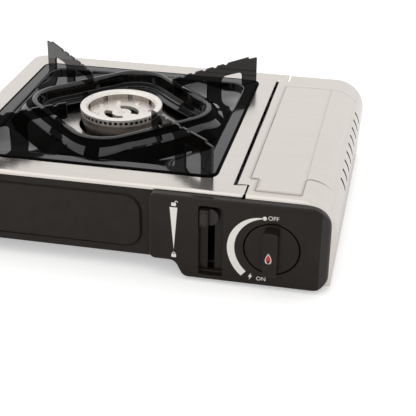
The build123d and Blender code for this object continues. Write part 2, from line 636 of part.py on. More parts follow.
# Lift-out drip pan: flange, tub, four straight ribs and a collar round the burner
with BuildPart() as drip_pan:
    with BuildSketch(Plane.XY.offset(PLATE_TOP)) as pan_flange:
        with Locations((BURNER_X, BURNER_Y)):
            RectangleRounded(PAN_SIZE, PAN_SIZE, PAN_CORNER)
    extrude(amount=PAN_SHEET)
    with BuildSketch(Plane.XY.offset(PAN_FLOOR - PAN_SHEET)) as tub_outside:
        with Locations((BURNER_X, BURNER_Y)):
            RectangleRounded(2 * TUB_HALF, 2 * TUB_HALF, PAN_TUB_CORNER)
    extrude(amount=PLATE_TOP - PAN_FLOOR + PAN_SHEET)
    with BuildSketch(Plane.XY.offset(PAN_FLOOR)) as tub_inside:
        with Locations((BURNER_X, BURNER_Y)):
            tub_inner = 2 * (TUB_HALF - PAN_SHEET)
            RectangleRounded(tub_inner, tub_inner, PAN_TUB_CORNER - PAN_SHEET)
    extrude(amount=PLATE_TOP - PAN_FLOOR + PAN_SHEET, mode=Mode.SUBTRACT)
    for depth, length, width, mode in (
        (0, RIB_LENGTH, RIB_WIDTH, Mode.ADD),
        (PAN_SHEET, RIB_LENGTH - 2 * PAN_SHEET, RIB_WIDTH - 2 * PAN_SHEET, Mode.SUBTRACT),
    ):
        with BuildSketch(Plane.XY.offset(PAN_FLOOR - depth)) as ribs:
            with Locations((BURNER_X, BURNER_Y)):
                with PolarLocations(RIB_DISTANCE, 4, start_angle=45):
                    SlotOverall(length, width, rotation=90)
        extrude(amount=RIB_HEIGHT, mode=mode)
    with BuildSketch(Plane.XY.offset(PAN_FLOOR - PAN_SHEET)) as burner_hole:
        with Locations((BURNER_X, BURNER_Y)):
            Circle(COLLAR_FOOT_RADIUS - PAN_SHEET)
    extrude(amount=RIB_HEIGHT + 2 * PAN_SHEET, mode=Mode.SUBTRACT)
    with BuildSketch(Plane(origin=(BURNER_X, BURNER_Y, 0), x_dir=(1, 0, 0), z_dir=(0, -1, 0))) as collar:
        with BuildLine() as collar_outline:
            Polyline(
                (COLLAR_FOOT_RADIUS + PAN_SHEET, PAN_FLOOR - PAN_SHEET),
                (COLLAR_FOOT_RADIUS + PAN_SHEET, PAN_FLOOR),
                (COLLAR_FOOT_RADIUS, PAN_FLOOR),
                (COLLAR_TOP_RADIUS, COLLAR_TOP),
                (PAN_HOLE_RADIUS, COLLAR_TOP),
                (PAN_HOLE_RADIUS, COLLAR_TOP - PAN_SHEET),
                (COLLAR_TOP_RADIUS - PAN_SHEET, COLLAR_TOP - PAN_SHEET),
                (COLLAR_FOOT_RADIUS - PAN_SHEET, PAN_FLOOR - PAN_SHEET),
                close=True,
            )
        make_face()
    revolve(axis=Axis((BURNER_X, BURNER_Y, 0), (0, 0, 1)))
drip_pan.part.label = "drip_pan"
export_step(drip_pan.part, "parts/drip_pan.step")


def pan_fin(angle):
    """Pan support plate on a diagonal: toothed top edge, two arches, three feet."""
    out = (cos(radians(angle)), sin(radians(angle)))
    middle_in = FIN_MIDDLE_LEG_IN
    middle_out = middle_in + FIN_MIDDLE_LEG_WIDTH
    tip_end = FIN_INNER + FIN_TIP_LENGTH
    flange_top = PLATE_TOP + PAN_SHEET
    slope = (FIN_OUTER_TOP - FIN_INNER_TOP) / (FIN_CREST_END - FIN_INNER)
    plane = Plane(origin=(BURNER_X, BURNER_Y, 0), x_dir=(*out, 0), z_dir=(out[1], -out[0], 0))
    with BuildPart() as fin:
        with BuildSketch(plane) as plate:
            with BuildLine() as plate_edge:
                Polyline(
                    (FIN_INNER, FIN_TIP_BOTTOM),
                    (FIN_INNER, FIN_INNER_TOP),
                    (FIN_CREST_END, FIN_OUTER_TOP),
                    (FIN_CREST_END, FIN_OUTER_TOP - FIN_CREST_DROP),
                    (FIN_OUTER, FIN_OUTER_TOP - FIN_CREST_DROP),
                    (FIN_OUTER, flange_top),
                    (FIN_OUTER_LEG, flange_top),
                    (FIN_OUTER_LEG, FIN_ARCH_TOP),
                    (middle_out, FIN_ARCH_TOP),
                    (middle_out, PAN_FLOOR),
                    (middle_in, PAN_FLOOR),
                    (middle_in, FIN_ARCH_TOP),
                    (tip_end, FIN_ARCH_TOP),
                    (tip_end, FIN_TIP_BOTTOM),
                    close=True,
                )
            make_face()
            arch_corners = plate.vertices().filter_by(lambda v: abs(v.Y - FIN_ARCH_TOP) < PAN_SHEET)
            fillet(arch_corners, min(FIN_ARCH_RADIUS, (middle_in - tip_end) * BEND_SHARE))
            teeth = int((FIN_CREST_END - TOOTH_FIRST - TOOTH_END_MARGIN) / TOOTH_PITCH) + 1
            for tooth in range(teeth):
                tooth_r = TOOTH_FIRST + tooth * TOOTH_PITCH
                crest = FIN_INNER_TOP + slope * (tooth_r - FIN_INNER)
                with Locations((tooth_r, crest + TOOTH_RADIUS - TOOTH_DEPTH)):
                    Circle(TOOTH_RADIUS, mode=Mode.SUBTRACT)
        extrude(amount=FIN_SHEET / 2, both=True)
    return fin.part


FIN_ANGLES = {"front_right": -45, "rear_right": 45, "rear_left": 135, "front_left": 225}
for corner, fin_angle in FIN_ANGLES.items():
    pan_support = pan_fin(fin_angle)
    pan_support.label = f"pan_fin_{corner}"
    export_step(pan_support, f"parts/pan_fin_{corner}.step")

# Burner head: bowl with a broad rim, a ring of ports under it, kidney vents and bosses in the floor
BOWL_FLOOR = BURNER_TOP - BOWL_DEPTH
BURNER_PLANE = Plane(origin=(BURNER_X, BURNER_Y, 0), x_dir=(1, 0, 0), z_dir=(0, -1, 0))
BURNER_AXIS = Axis((BURNER_X, BURNER_Y, 0), (0, 0, 1))
with BuildPart() as burner_head:
    with BuildSketch(BURNER_PLANE) as head_section:
        with BuildLine() as head_outline:
            Polyline(
                (0, BOWL_FLOOR - BOWL_FLOOR_THICK),
                (SPIGOT_RADIUS, BOWL_FLOOR - BOWL_FLOOR_THICK),
                (SPIGOT_RADIUS, BASE_JOINT),
                (BURNER_WALL_RADIUS, BASE_JOINT),
                (BURNER_WALL_RADIUS, BURNER_TOP - BURNER_RIM_THICK),
                (BURNER_RIM_RADIUS, BURNER_TOP - BURNER_RIM_THICK),
                (BURNER_RIM_RADIUS, BURNER_TOP),
                (BOWL_MOUTH_RADIUS, BURNER_TOP),
                (BOWL_RADIUS, BURNER_TOP - BURNER_RIM_THICK),
                (BOWL_RADIUS, BOWL_FLOOR),
                (0, BOWL_FLOOR),
                close=True,
            )
        make_face()
    revolve(axis=BURNER_AXIS)
    rim_edges = burner_head.edges().filter_by(GeomType.CIRCLE).group_by(Axis.Z)[-1]
    fillet(rim_edges, BURNER_RIM_THICK / 4)
    with BuildSketch(Plane.XY.offset(BOWL_FLOOR)) as bosses:
        with Locations((BURNER_X, BURNER_Y)):
            with PolarLocations(BOSS_CIRCLE, BOWL_SLOT_COUNT, start_angle=180 / BOWL_SLOT_COUNT):
                Circle(BOSS_RADIUS)
            Circle(BOSS_RADIUS)
    extrude(amount=BOSS_HEIGHT)
    with BuildSketch(Plane.XY.offset(BOWL_FLOOR + BOSS_HEIGHT)) as boss_bores:
        with Locations((BURNER_X, BURNER_Y)):
            with PolarLocations(BOSS_CIRCLE, BOWL_SLOT_COUNT, start_angle=180 / BOWL_SLOT_COUNT):
                Circle(BOSS_BORE)
            Circle(BOSS_BORE)
    extrude(amount=-2 * BOSS_HEIGHT, mode=Mode.SUBTRACT)
    with BuildSketch(Plane.XY.offset(BOWL_FLOOR)) as kidneys:
        with Locations((BURNER_X, BURNER_Y)):
            for start in (KIDNEY_TURN - KIDNEY_SPAN / 2, KIDNEY_TURN + 180 - KIDNEY_SPAN / 2):
                SlotArc(
                    CenterArc((0, 0), (KIDNEY_INNER + KIDNEY_OUTER) / 2, start, KIDNEY_SPAN),
                    KIDNEY_OUTER - KIDNEY_INNER,
                )
    extrude(amount=-2 * BOWL_FLOOR_THICK, mode=Mode.SUBTRACT)
    with BuildSketch(Plane.XY.offset(BURNER_TOP - BURNER_RIM_THICK)) as ports:
        with Locations((BURNER_X, BURNER_Y)):
            with PolarLocations(BURNER_WALL_RADIUS, PORT_COUNT):
                Rectangle(2 * PORT_DEPTH, PORT_WIDTH)
    extrude(amount=-PORT_HEIGHT, mode=Mode.SUBTRACT)
    with BuildSketch(Plane.XY.offset(BURNER_TOP - BURNER_RIM_THICK)) as bowl_slots:
        with Locations((BURNER_X, BURNER_Y)):
            with PolarLocations(BOWL_RADIUS, BOWL_SLOT_COUNT):
                Rectangle(2 * BOWL_SLOT_DEPTH, BOWL_SLOT_WIDTH)
    extrude(amount=-(BOWL_DEPTH - BURNER_RIM_THICK), mode=Mode.SUBTRACT)
burner_head.part.label = "burner_head"
export_step(burner_head.part, "parts/burner_head.step")

# Burner base: tapered casting with a ring channel for the gas and an open middle for air
CHANNEL_OUTER = BASE_FOOT_RADIUS - BASE_WALL
CHANNEL_INNER = BASE_AIR_RADIUS + BASE_WALL
BURNER_SCREWS = [
    (BURNER_X + side * (CHANNEL_INNER + CHANNEL_OUTER) / 2, BURNER_Y) for side in (-1, 1)
]
with BuildPart() as burner_base:
    with BuildSketch(BURNER_PLANE) as base_section:
        with BuildLine() as base_outline:
            Polyline(
                (BASE_AIR_RADIUS, BASE_BOTTOM),
                (BASE_FOOT_RADIUS, BASE_BOTTOM),
                (BASE_WAIST_RADIUS, BASE_WAIST),
                (BASE_LIP_RADIUS, BASE_JOINT - BASE_WALL),
                (BASE_LIP_RADIUS, BASE_JOINT),
                (SPIGOT_RADIUS + SHAFT_CLEARANCE, BASE_JOINT),
                (SPIGOT_RADIUS + SHAFT_CLEARANCE, BASE_JOINT - 2 * BASE_WALL),
                (CHANNEL_OUTER, BASE_WAIST),
                (CHANNEL_OUTER, BASE_BOTTOM + BASE_WALL),
                (CHANNEL_INNER, BASE_BOTTOM + BASE_WALL),
                (CHANNEL_INNER, BOWL_FLOOR - BOWL_FLOOR_THICK),
                (BASE_AIR_RADIUS, BOWL_FLOOR - BOWL_FLOOR_THICK),
                close=True,
            )
        make_face()
    revolve(axis=BURNER_AXIS)
    with BuildSketch(feed_plane(CHANNEL_OUTER - BASE_WALL)) as inlet_boss:
        Circle(TUBE_RADIUS + BASE_WALL / 2)
    extrude(amount=BASE_FOOT_RADIUS - CHANNEL_OUTER + 3 * BASE_WALL)
    with BuildSketch(feed_plane(CHANNEL_OUTER - 2 * BASE_WALL)) as inlet_bore:
        Circle(TUBE_RADIUS)
    extrude(amount=BASE_FOOT_RADIUS, mode=Mode.SUBTRACT)
    with BuildSketch(Plane.XY.offset(BASE_BOTTOM)) as base_screw_holes:
        with Locations(*BURNER_SCREWS):
            Circle(SCREW_RADIUS)
    extrude(amount=BASE_WALL, mode=Mode.SUBTRACT)
burner_base.part.label = "burner_base"
export_step(burner_base.part, "parts/burner_base.step")

# Mixing tube from the burner to the jet, with air holes near its open end
with BuildPart() as mixing_tube:
    with BuildSketch(feed_plane(CHANNEL_OUTER)) as tube_section:
        Circle(TUBE_RADIUS)
        Circle(TUBE_RADIUS - TUBE_WALL, mode=Mode.SUBTRACT)
    extrude(amount=TUBE_END - CHANNEL_OUTER)
    with BuildSketch(feed_plane(TUBE_END)) as tube_flare:
        Circle(TUBE_RADIUS + TUBE_WALL)
        Circle(TUBE_RADIUS - TUBE_WALL, mode=Mode.SUBTRACT)
    extrude(amount=-2 * TUBE_WALL)
mixing_tube.part.label = "mixing_tube"
export_step(mixing_tube.part, "parts/mixing_tube.step")

# Bracket under the burner: flat top, two legs, two feet on the case floor
with BuildPart() as burner_bracket:
    half = BRACKET_SPAN / 2
    with BuildSketch(BURNER_PLANE) as bracket_profile:
        with BuildLine() as bracket_line:
            Polyline(
                (-half - BRACKET_FOOT, CASE_FLOOR),
                (-half, CASE_FLOOR),
                (-half, BASE_BOTTOM - BRACKET_SHEET),
                (half, BASE_BOTTOM - BRACKET_SHEET),
                (half, CASE_FLOOR),
                (half + BRACKET_FOOT, CASE_FLOOR),
                (half + BRACKET_FOOT, CASE_FLOOR + BRACKET_SHEET),
                (half + BRACKET_SHEET, CASE_FLOOR + BRACKET_SHEET),
                (half + BRACKET_SHEET, BASE_BOTTOM),
                (-half - BRACKET_SHEET, BASE_BOTTOM),
                (-half - BRACKET_SHEET, CASE_FLOOR + BRACKET_SHEET),
                (-half - BRACKET_FOOT, CASE_FLOOR + BRACKET_SHEET),
                close=True,
            )
        make_face()
    extrude(amount=BRACKET_WIDTH / 2, both=True)
    with BuildSketch(Plane.XY.offset(BASE_BOTTOM)) as air_hole:
        with Locations((BURNER_X, BURNER_Y)):
            Circle(BRACKET_WIDTH / 2 - 2 * BRACKET_SHEET)
        with Locations(*BURNER_SCREWS):
            Circle(SCREW_RADIUS)
    extrude(amount=-BRACKET_SHEET, mode=Mode.SUBTRACT)
burner_bracket.part.label = "burner_bracket"
export_step(burner_bracket.part, "parts/burner_bracket.step")

# Brass jet that blows gas into the mixing tube
with BuildPart() as gas_jet:
    with BuildSketch(feed_plane(JET_START)) as jet_section:
        Circle(JET_RADIUS)
        Circle(JET_BORE, mode=Mode.SUBTRACT)
    extrude(amount=JET_LENGTH)
    chamfer(gas_jet.edges().filter_by(GeomType.CIRCLE).sort_by(Axis.X)[-1:], JET_BORE)
gas_jet.part.label = "gas_jet"
export_step(gas_jet.part, "parts/gas_jet.step")

# Holder that carries the jet, on a post from the case floor, and takes the gas pipe
with BuildPart() as jet_holder:
    with BuildSketch(feed_plane(HOLDER_START)) as holder_section:
        Circle(HOLDER_RADIUS)
        Circle(PIPE_BORE, mode=Mode.SUBTRACT)
    extrude(amount=HOLDER_LENGTH)
    holder_middle = feed_point(HOLDER_START + HOLDER_LENGTH / 2)
    with BuildSketch(Plane.XY.offset(CASE_FLOOR)) as holder_post:
        with Locations((holder_middle[0], holder_middle[1])):
            Rectangle(HOLDER_LENGTH - JET_BORE, HOLDER_RADIUS, rotation=FEED_ANGLE)
    extrude(amount=FEED_HEIGHT - HOLDER_RADIUS / 2 - PIPE_BORE / 2 - CASE_FLOOR)
jet_holder.part.label = "jet_holder"
export_step(jet_holder.part, "parts/jet_holder.step")

# Gas pipe from the regulator, over the carriage and through the partition, to the jet holder
with BuildPart() as gas_pipe:
    with BuildLine() as pipe_route:
        pipe_path = FilletPolyline(
            (OUTLET_X, OUTLET_Y, REGULATOR_TOP + OUTLET_HEIGHT),
            (OUTLET_X, OUTLET_Y, PIPE_LEVEL),
            (PIPE_CORNER_X, OUTLET_Y, PIPE_LEVEL),
            feed_point(PIPE_START + 2 * PIPE_BEND),
            feed_point(PIPE_START),
            radius=[PIPE_LEVEL - REGULATOR_TOP - OUTLET_HEIGHT - PIPE_BORE, PIPE_BEND, PIPE_BEND],
        )
    with BuildSketch(Plane(pipe_path @ 0, z_dir=pipe_path % 0)) as pipe_section:
        Circle(PIPE_RADIUS)
        Circle(PIPE_BORE, mode=Mode.SUBTRACT)
    sweep(path=pipe_path)
gas_pipe.part.label = "gas_pipe"
export_step(gas_pipe.part, "parts/gas_pipe.step")
pipe_metal = pi * (PIPE_RADIUS**2 - PIPE_BORE**2) * pipe_path.length
print("gas pipe length", round(pipe_path.length, 1))
print("gas pipe volume ratio", round(gas_pipe.part.volume / pipe_metal, 4))

# Regulator block behind the control panel, with the cartridge's nose at its rear
with BuildPart() as regulator_body:
    with BuildSketch(front_plane(REGULATOR_FRONT)) as block:
        with Locations((KNOB_X, KNOB_AXIS)):
            RectangleRounded(REGULATOR_WIDTH, REGULATOR_HEIGHT, BASE_WALL)
    extrude(amount=-REGULATOR_LENGTH)
    with BuildSketch(front_plane(REGULATOR_FRONT)) as valve_boss:
        with Locations((KNOB_X, KNOB_AXIS)):
            Circle(REGULATOR_BOSS_RADIUS)
    extrude(amount=CASE_SHEET)
    with BuildSketch(front_plane(REGULATOR_REAR)) as nose:
        with Locations((CARTRIDGE_X, CARTRIDGE_AXIS)):
            Circle(NOSE_RADIUS)
    extrude(amount=-NOSE_LENGTH)
    with BuildSketch(front_plane(NOSE_END)) as socket:
        with Locations((CARTRIDGE_X, CARTRIDGE_AXIS)):
            Circle(SOCKET_RADIUS)
    extrude(amount=SOCKET_DEPTH, mode=Mode.SUBTRACT)
    with BuildSketch(front_plane(REGULATOR_FRONT - CASE_SHEET)) as stem_bore:
        with Locations((KNOB_X, KNOB_AXIS)):
            Circle(STEM_RADIUS + SHAFT_CLEARANCE)
    extrude(amount=-(STEM_DEPTH + 2 * CASE_SHEET), mode=Mode.SUBTRACT)
    with BuildSketch(front_plane(REGULATOR_FRONT)) as fixing_holes:
        with Locations(*REGULATOR_SCREWS):
            Circle(SCREW_RADIUS)
    extrude(amount=-SCREW_GRIP, mode=Mode.SUBTRACT)
    with BuildSketch(Plane.XY.offset(REGULATOR_TOP)) as outlet:
        with Locations((OUTLET_X, OUTLET_Y)):
            Circle(OUTLET_RADIUS)
            Circle(PIPE_BORE, mode=Mode.SUBTRACT)
    extrude(amount=OUTLET_HEIGHT)
regulator_body.part.label = "regulator_body"
export_step(regulator_body.part, "parts/regulator_body.step")

# Diaphragm cap on the regulator's right side
with BuildPart() as regulator_cap:
    with BuildSketch(Plane.YZ.offset(KNOB_X + REGULATOR_WIDTH / 2)) as cap_section:
        with Locations(((REGULATOR_FRONT + REGULATOR_REAR) / 2, KNOB_AXIS)):
            Circle(CAP_RADIUS)
    extrude(amount=CAP_THICK)
    chamfer(regulator_cap.faces().sort_by(Axis.X)[-1].edges(), CAP_THICK / 4)
regulator_cap.part.label = "regulator_cap"
export_step(regulator_cap.part, "parts/regulator_cap.step")

# Rubber seal in the cartridge socket
with BuildPart() as cartridge_seal:
    with BuildSketch(front_plane(NOSE_END - SOCKET_DEPTH)) as seal_section:
        with Locations((CARTRIDGE_X, CARTRIDGE_AXIS)):
            Circle(SOCKET_RADIUS)
            Circle(SEAL_BORE, mode=Mode.SUBTRACT)
    extrude(amount=-SEAL_THICK)
cartridge_seal.part.label = "cartridge_seal"
export_step(cartridge_seal.part, "parts/cartridge_seal.step")

# Valve stem that the knob turns
STEM_FRONT = PANEL_FACE + KNOB_THICK - BASE_WALL
with BuildPart() as valve_stem:
    with BuildSketch(front_plane(STEM_FRONT)) as stem_section:
        with Locations((KNOB_X, KNOB_AXIS)):
            Circle(STEM_RADIUS)
    extrude(amount=-(REGULATOR_FRONT + STEM_DEPTH - STEM_FRONT))
valve_stem.part.label = "valve_stem"
export_step(valve_stem.part, "parts/valve_stem.step")

# Piezo igniter on top of the regulator
with BuildPart() as piezo_igniter:
    with BuildSketch(front_plane(REGULATOR_FRONT)) as piezo_section:
        with Locations((PIEZO_X, PIEZO_Z)):
            RectangleRounded(PIEZO_WIDTH, PIEZO_HEIGHT, LEAD_RADIUS)
    extrude(amount=-PIEZO_LENGTH)
    with BuildSketch(front_plane(REGULATOR_FRONT + PIEZO_LENGTH)) as piezo_nib:
        with Locations((PIEZO_X, PIEZO_Z)):
            Circle(2 * LEAD_RADIUS)
    extrude(amount=-PIEZO_NIB)
piezo_igniter.part.label = "piezo_igniter"
export_step(piezo_igniter.part, "parts/piezo_igniter.step")

# Ignition lead from the igniter, through the partition and under the well, to the electrode
LEAD_POINTS = (
    (PIEZO_X, PIEZO_END, PIEZO_Z),
    (PIEZO_X, HOOK_PLANE, PIEZO_Z),
    (PIEZO_X - 22.0, HOOK_PLANE, PIPE_LEVEL),
    (CARRIAGE_X - 18.0, HOOK_PLANE, PIPE_LEVEL),
    (BURNER_X + 100.0, BURNER_Y - 40.0, 60.0),
    (BURNER_X + 90.0, BURNER_Y + 20.0, 45.0),
    (BURNER_X + 45.0, BURNER_Y + 55.0, 32.0),
    (ELECTRODE_X, ELECTRODE_Y, 30.0),
    (ELECTRODE_X, ELECTRODE_Y, INSULATOR_BOTTOM),
)


def bend_radius(before, corner, after):
    """Largest arc that rounds a corner of a route with less than half of its shorter run."""
    run_in = Vector(corner) - Vector(before)
    run_out = Vector(after) - Vector(corner)
    room = BEND_SHARE * min(run_in.length, run_out.length)
    return room / tan(radians(run_in.get_angle(run_out) / 2))


LEAD_BENDS = [bend_radius(*corner) for corner in zip(LEAD_POINTS, LEAD_POINTS[1:], LEAD_POINTS[2:])]
with BuildPart() as ignition_lead:
    with BuildLine() as lead_route:
        lead_path = FilletPolyline(*LEAD_POINTS, radius=LEAD_BENDS)
    with BuildSketch(Plane(lead_path @ 0, z_dir=lead_path % 0)) as lead_section:
        Circle(LEAD_RADIUS)
    sweep(path=lead_path)
ignition_lead.part.label = "ignition_lead"
export_step(ignition_lead.part, "parts/ignition_lead.step")
lead_rubber = pi * LEAD_RADIUS**2 * lead_path.length
print("lead length", round(lead_path.length, 1))
print("lead volume ratio", round(ignition_lead.part.volume / lead_rubber, 4))
print("lead bends", [round(radius, 1) for radius in LEAD_BENDS])

# Ceramic insulator, its clip on the burner, and the spark pin bent towards the ports
with BuildPart() as electrode_insulator:
    with BuildSketch(Plane.XY.offset(INSULATOR_BOTTOM)) as insulator_section:
        with Locations((ELECTRODE_X, ELECTRODE_Y)):
            Circle(INSULATOR_RADIUS)
    extrude(amount=INSULATOR_TOP - INSULATOR_BOTTOM)
    chamfer(electrode_insulator.faces().sort_by(Axis.Z)[-1].edges(), PIN_RADIUS)
electrode_insulator.part.label = "electrode_insulator"
export_step(electrode_insulator.part, "parts/electrode_insulator.step")

CLIP_LEVEL = (INSULATOR_BOTTOM + BASE_WAIST) / 2
with BuildPart() as electrode_clip:
    with BuildSketch(Plane.XY.offset(CLIP_LEVEL)) as clip_sketch:
        with Locations((BURNER_X, BURNER_Y)):
            with PolarLocations(ELECTRODE_CIRCLE - INSULATOR_RADIUS, 1, start_angle=ELECTRODE_ANGLE):
                Rectangle(4 * INSULATOR_RADIUS + BASE_WALL, 4 * INSULATOR_RADIUS)
            Circle(BASE_WAIST_RADIUS, mode=Mode.SUBTRACT)
        with Locations((ELECTRODE_X, ELECTRODE_Y)):
            Circle(INSULATOR_RADIUS, mode=Mode.SUBTRACT)
    extrude(amount=BRACKET_SHEET)
electrode_clip.part.label = "electrode_clip"
export_step(electrode_clip.part, "parts/electrode_clip.step")

with BuildPart() as spark_pin:
    tip_share = (BURNER_RIM_RADIUS + BRACKET_SHEET) / ELECTRODE_CIRCLE
    tip_x = BURNER_X + (ELECTRODE_X - BURNER_X) * tip_share
    tip_y = BURNER_Y + (ELECTRODE_Y - BURNER_Y) * tip_share
    with BuildLine() as pin_line:
        pin_path = FilletPolyline(
            (ELECTRODE_X, ELECTRODE_Y, INSULATOR_TOP),
            (ELECTRODE_X, ELECTRODE_Y, PIN_TOP),
            (tip_x, tip_y, PIN_TOP),
            radius=PIN_RADIUS * 1.5,
        )
    with BuildSketch(Plane(pin_path @ 0, z_dir=pin_path % 0)) as pin_section:
        Circle(PIN_RADIUS)
    sweep(path=pin_path)
spark_pin.part.label = "spark_pin"
export_step(spark_pin.part, "parts/spark_pin.step")

# Control panel: moulded shell with a cup for the knob and a slotted cup for the lever
PANEL_STEP_X = PANEL_LEFT + PANEL_STEP_LEFT
PANEL_STEP_END = PANEL_STEP_X + PANEL_STEP_RUN
PANEL_CORNERS = (
    ((PANEL_LEFT, PANEL_TOP), PANEL_LEFT_RADIUS),
    ((PANEL_RIGHT, PANEL_TOP), PANEL_TOP_RIGHT_RADIUS),
    ((PANEL_RIGHT, PANEL_BOTTOM), PANEL_BOTTOM_RIGHT_RADIUS),
    ((PANEL_STEP_END, PANEL_BOTTOM), PANEL_STEP_RADIUS),
    ((PANEL_STEP_X, PANEL_STEP_LEVEL), PANEL_STEP_RADIUS),
    ((PANEL_LEFT, PANEL_STEP_LEVEL), PANEL_LEFT_RADIUS),
)
NECK_BOTTOM = LEVER_REST - NECK_DROP
RAIL_X = SLIDER_WIDTH / 2 + SLIDE_CLEARANCE
LEVER_CUP_HALF = LEVER_CUP_WIDTH / 2
PANEL_INSIDE = PANEL_FACE + PANEL_WALL
SEAT_RIGHT = PANEL_RIGHT - PANEL_LIP_REBATE
SEAT_TOP = PLATE_TOP - LID_FLANGE - SEAM
SEAT_CORNER = SEAT_RIGHT - RIGHT + SHOULDER_RADIUS
CUP_OUTER = KNOB_RADIUS + KNOB_CLEARANCE + PANEL_WALL
with BuildPart() as control_panel:
    with BuildSketch(front_plane(PANEL_FACE)) as panel_outline:
        with BuildLine() as panel_line:
            Polyline(*[point for point, radius in PANEL_CORNERS], close=True)
        make_face()
        for point, radius in PANEL_CORNERS:
            fillet(panel_outline.vertices().sort_by_distance(point)[:1], radius)
    extrude(amount=PANEL_FACE - RIM_BACK)
    with BuildSketch(Plane.XY) as side_bevel:
        with BuildLine() as bevel_line:
            Polyline(
                (PANEL_RIGHT - PANEL_SIDE_BEVEL, PANEL_FACE),
                (PANEL_RIGHT, PANEL_FACE),
                (PANEL_RIGHT, PANEL_FACE + PANEL_SIDE_BEVEL_DEPTH),
                close=True,
            )
        make_face()
    extrude(amount=PANEL_TOP, mode=Mode.SUBTRACT)
    fillet(control_panel.faces().sort_by(Axis.Y)[0].edges(), PANEL_EDGE)
    with BuildSketch(front_plane(RIM_BACK)) as panel_seat:
        box_sketch((PANEL_LEFT, PANEL_STEP_LEVEL), (SEAT_RIGHT, SEAT_TOP))
        fillet(panel_seat.vertices().sort_by_distance((SEAT_RIGHT, SEAT_TOP))[:1], SEAT_CORNER)
    extrude(amount=RIM_BACK - CASE_FRONT)
    with BuildSketch(front_plane(PANEL_INSIDE)) as panel_pocket:
        box_sketch(
            (PANEL_LEFT + PANEL_SEAT, PANEL_STEP_LEVEL + PANEL_WALL),
            (SEAT_RIGHT - PANEL_WALL, SEAT_TOP - PANEL_WALL),
        )
        pocket_corner = (SEAT_RIGHT - PANEL_WALL, SEAT_TOP - PANEL_WALL)
        fillet(panel_pocket.vertices().sort_by_distance(pocket_corner)[:1], SEAT_CORNER - PANEL_WALL)
        box_sketch(
            (PANEL_STEP_END + PANEL_SEAT, PANEL_BOTTOM + PANEL_SEAT),
            (PANEL_RIGHT - PANEL_BOTTOM_RIGHT_RADIUS, PANEL_STEP_LEVEL + PANEL_SEAT),
        )
    extrude(amount=PANEL_INSIDE - CASE_FRONT, mode=Mode.SUBTRACT)
    with BuildSketch(front_plane(PANEL_INSIDE)) as knob_cup:
        with Locations((KNOB_X, KNOB_AXIS)):
            Circle(CUP_OUTER)
    extrude(amount=PANEL_INSIDE - KNOB_FLOOR - PANEL_WALL)
    with BuildSketch(front_plane(PANEL_INSIDE)) as lever_cup:
        box_sketch(
            (LEVER_X - LEVER_CUP_HALF - PANEL_WALL, LEVER_CUP_BOTTOM - PANEL_WALL),
            (LEVER_X + LEVER_CUP_HALF + PANEL_WALL, SEAT_TOP - PANEL_WALL / 2),
        )
    extrude(amount=PANEL_INSIDE - LEVER_FLOOR_BACK)
    with BuildSketch(front_plane(PANEL_INSIDE)) as screw_bosses:
        with Locations(*PANEL_BOSSES):
            Circle(PANEL_BOSS_RADIUS)
    extrude(amount=PANEL_INSIDE - BAY_FRONT)
    with BuildSketch(front_plane(PANEL_FACE)) as knob_recess:
        with Locations((KNOB_X, KNOB_AXIS)):
            Circle(KNOB_RADIUS + KNOB_CLEARANCE)
    extrude(amount=-KNOB_CUP_DEPTH, mode=Mode.SUBTRACT)
    with BuildSketch(front_plane(PANEL_FACE)) as stem_hole:
        with Locations((KNOB_X, KNOB_AXIS)):
            Circle(STEM_RADIUS + KNOB_CLEARANCE)
    extrude(amount=PANEL_FACE - BAY_FRONT, mode=Mode.SUBTRACT)
    with BuildSketch(front_plane(PANEL_FACE)) as lever_recess:
        box_sketch(
            (LEVER_X - LEVER_CUP_HALF, LEVER_CUP_BOTTOM), (LEVER_X + LEVER_CUP_HALF, LEVER_CUP_TOP)
        )
    extrude(amount=-LEVER_CUP_DEPTH, mode=Mode.SUBTRACT)
    with BuildSketch(front_plane(PANEL_FACE)) as lever_slot:
        box_sketch(
            (LEVER_X - LEVER_SLOT_WIDTH / 2, NECK_BOTTOM - LEVER_TRAVEL - SLIDE_CLEARANCE),
            (LEVER_X + LEVER_SLOT_WIDTH / 2, NECK_BOTTOM + NECK_HEIGHT + SLIDE_CLEARANCE),
        )
    extrude(amount=PANEL_FACE - BAY_FRONT, mode=Mode.SUBTRACT)
    with BuildSketch(front_plane(LEVER_FLOOR_BACK)) as rails:
        rail_bottom = CASE_FLOOR + PANEL_WALL
        for side in (-1, 1):
            with Locations((LEVER_X + side * (RAIL_X + RAIL_WIDTH / 2), (rail_bottom + LEVER_CUP_TOP) / 2)):
                Rectangle(RAIL_WIDTH, LEVER_CUP_TOP - rail_bottom)
    extrude(amount=-RAIL_DEPTH)
    with BuildSketch(front_plane(BAY_FRONT)) as boss_holes:
        with Locations(*PANEL_BOSSES):
            Circle(SCREW_RADIUS)
    extrude(amount=SCREW_GRIP, mode=Mode.SUBTRACT)
control_panel.part.label = "control_panel"
export_step(control_panel.part, "parts/control_panel.step")

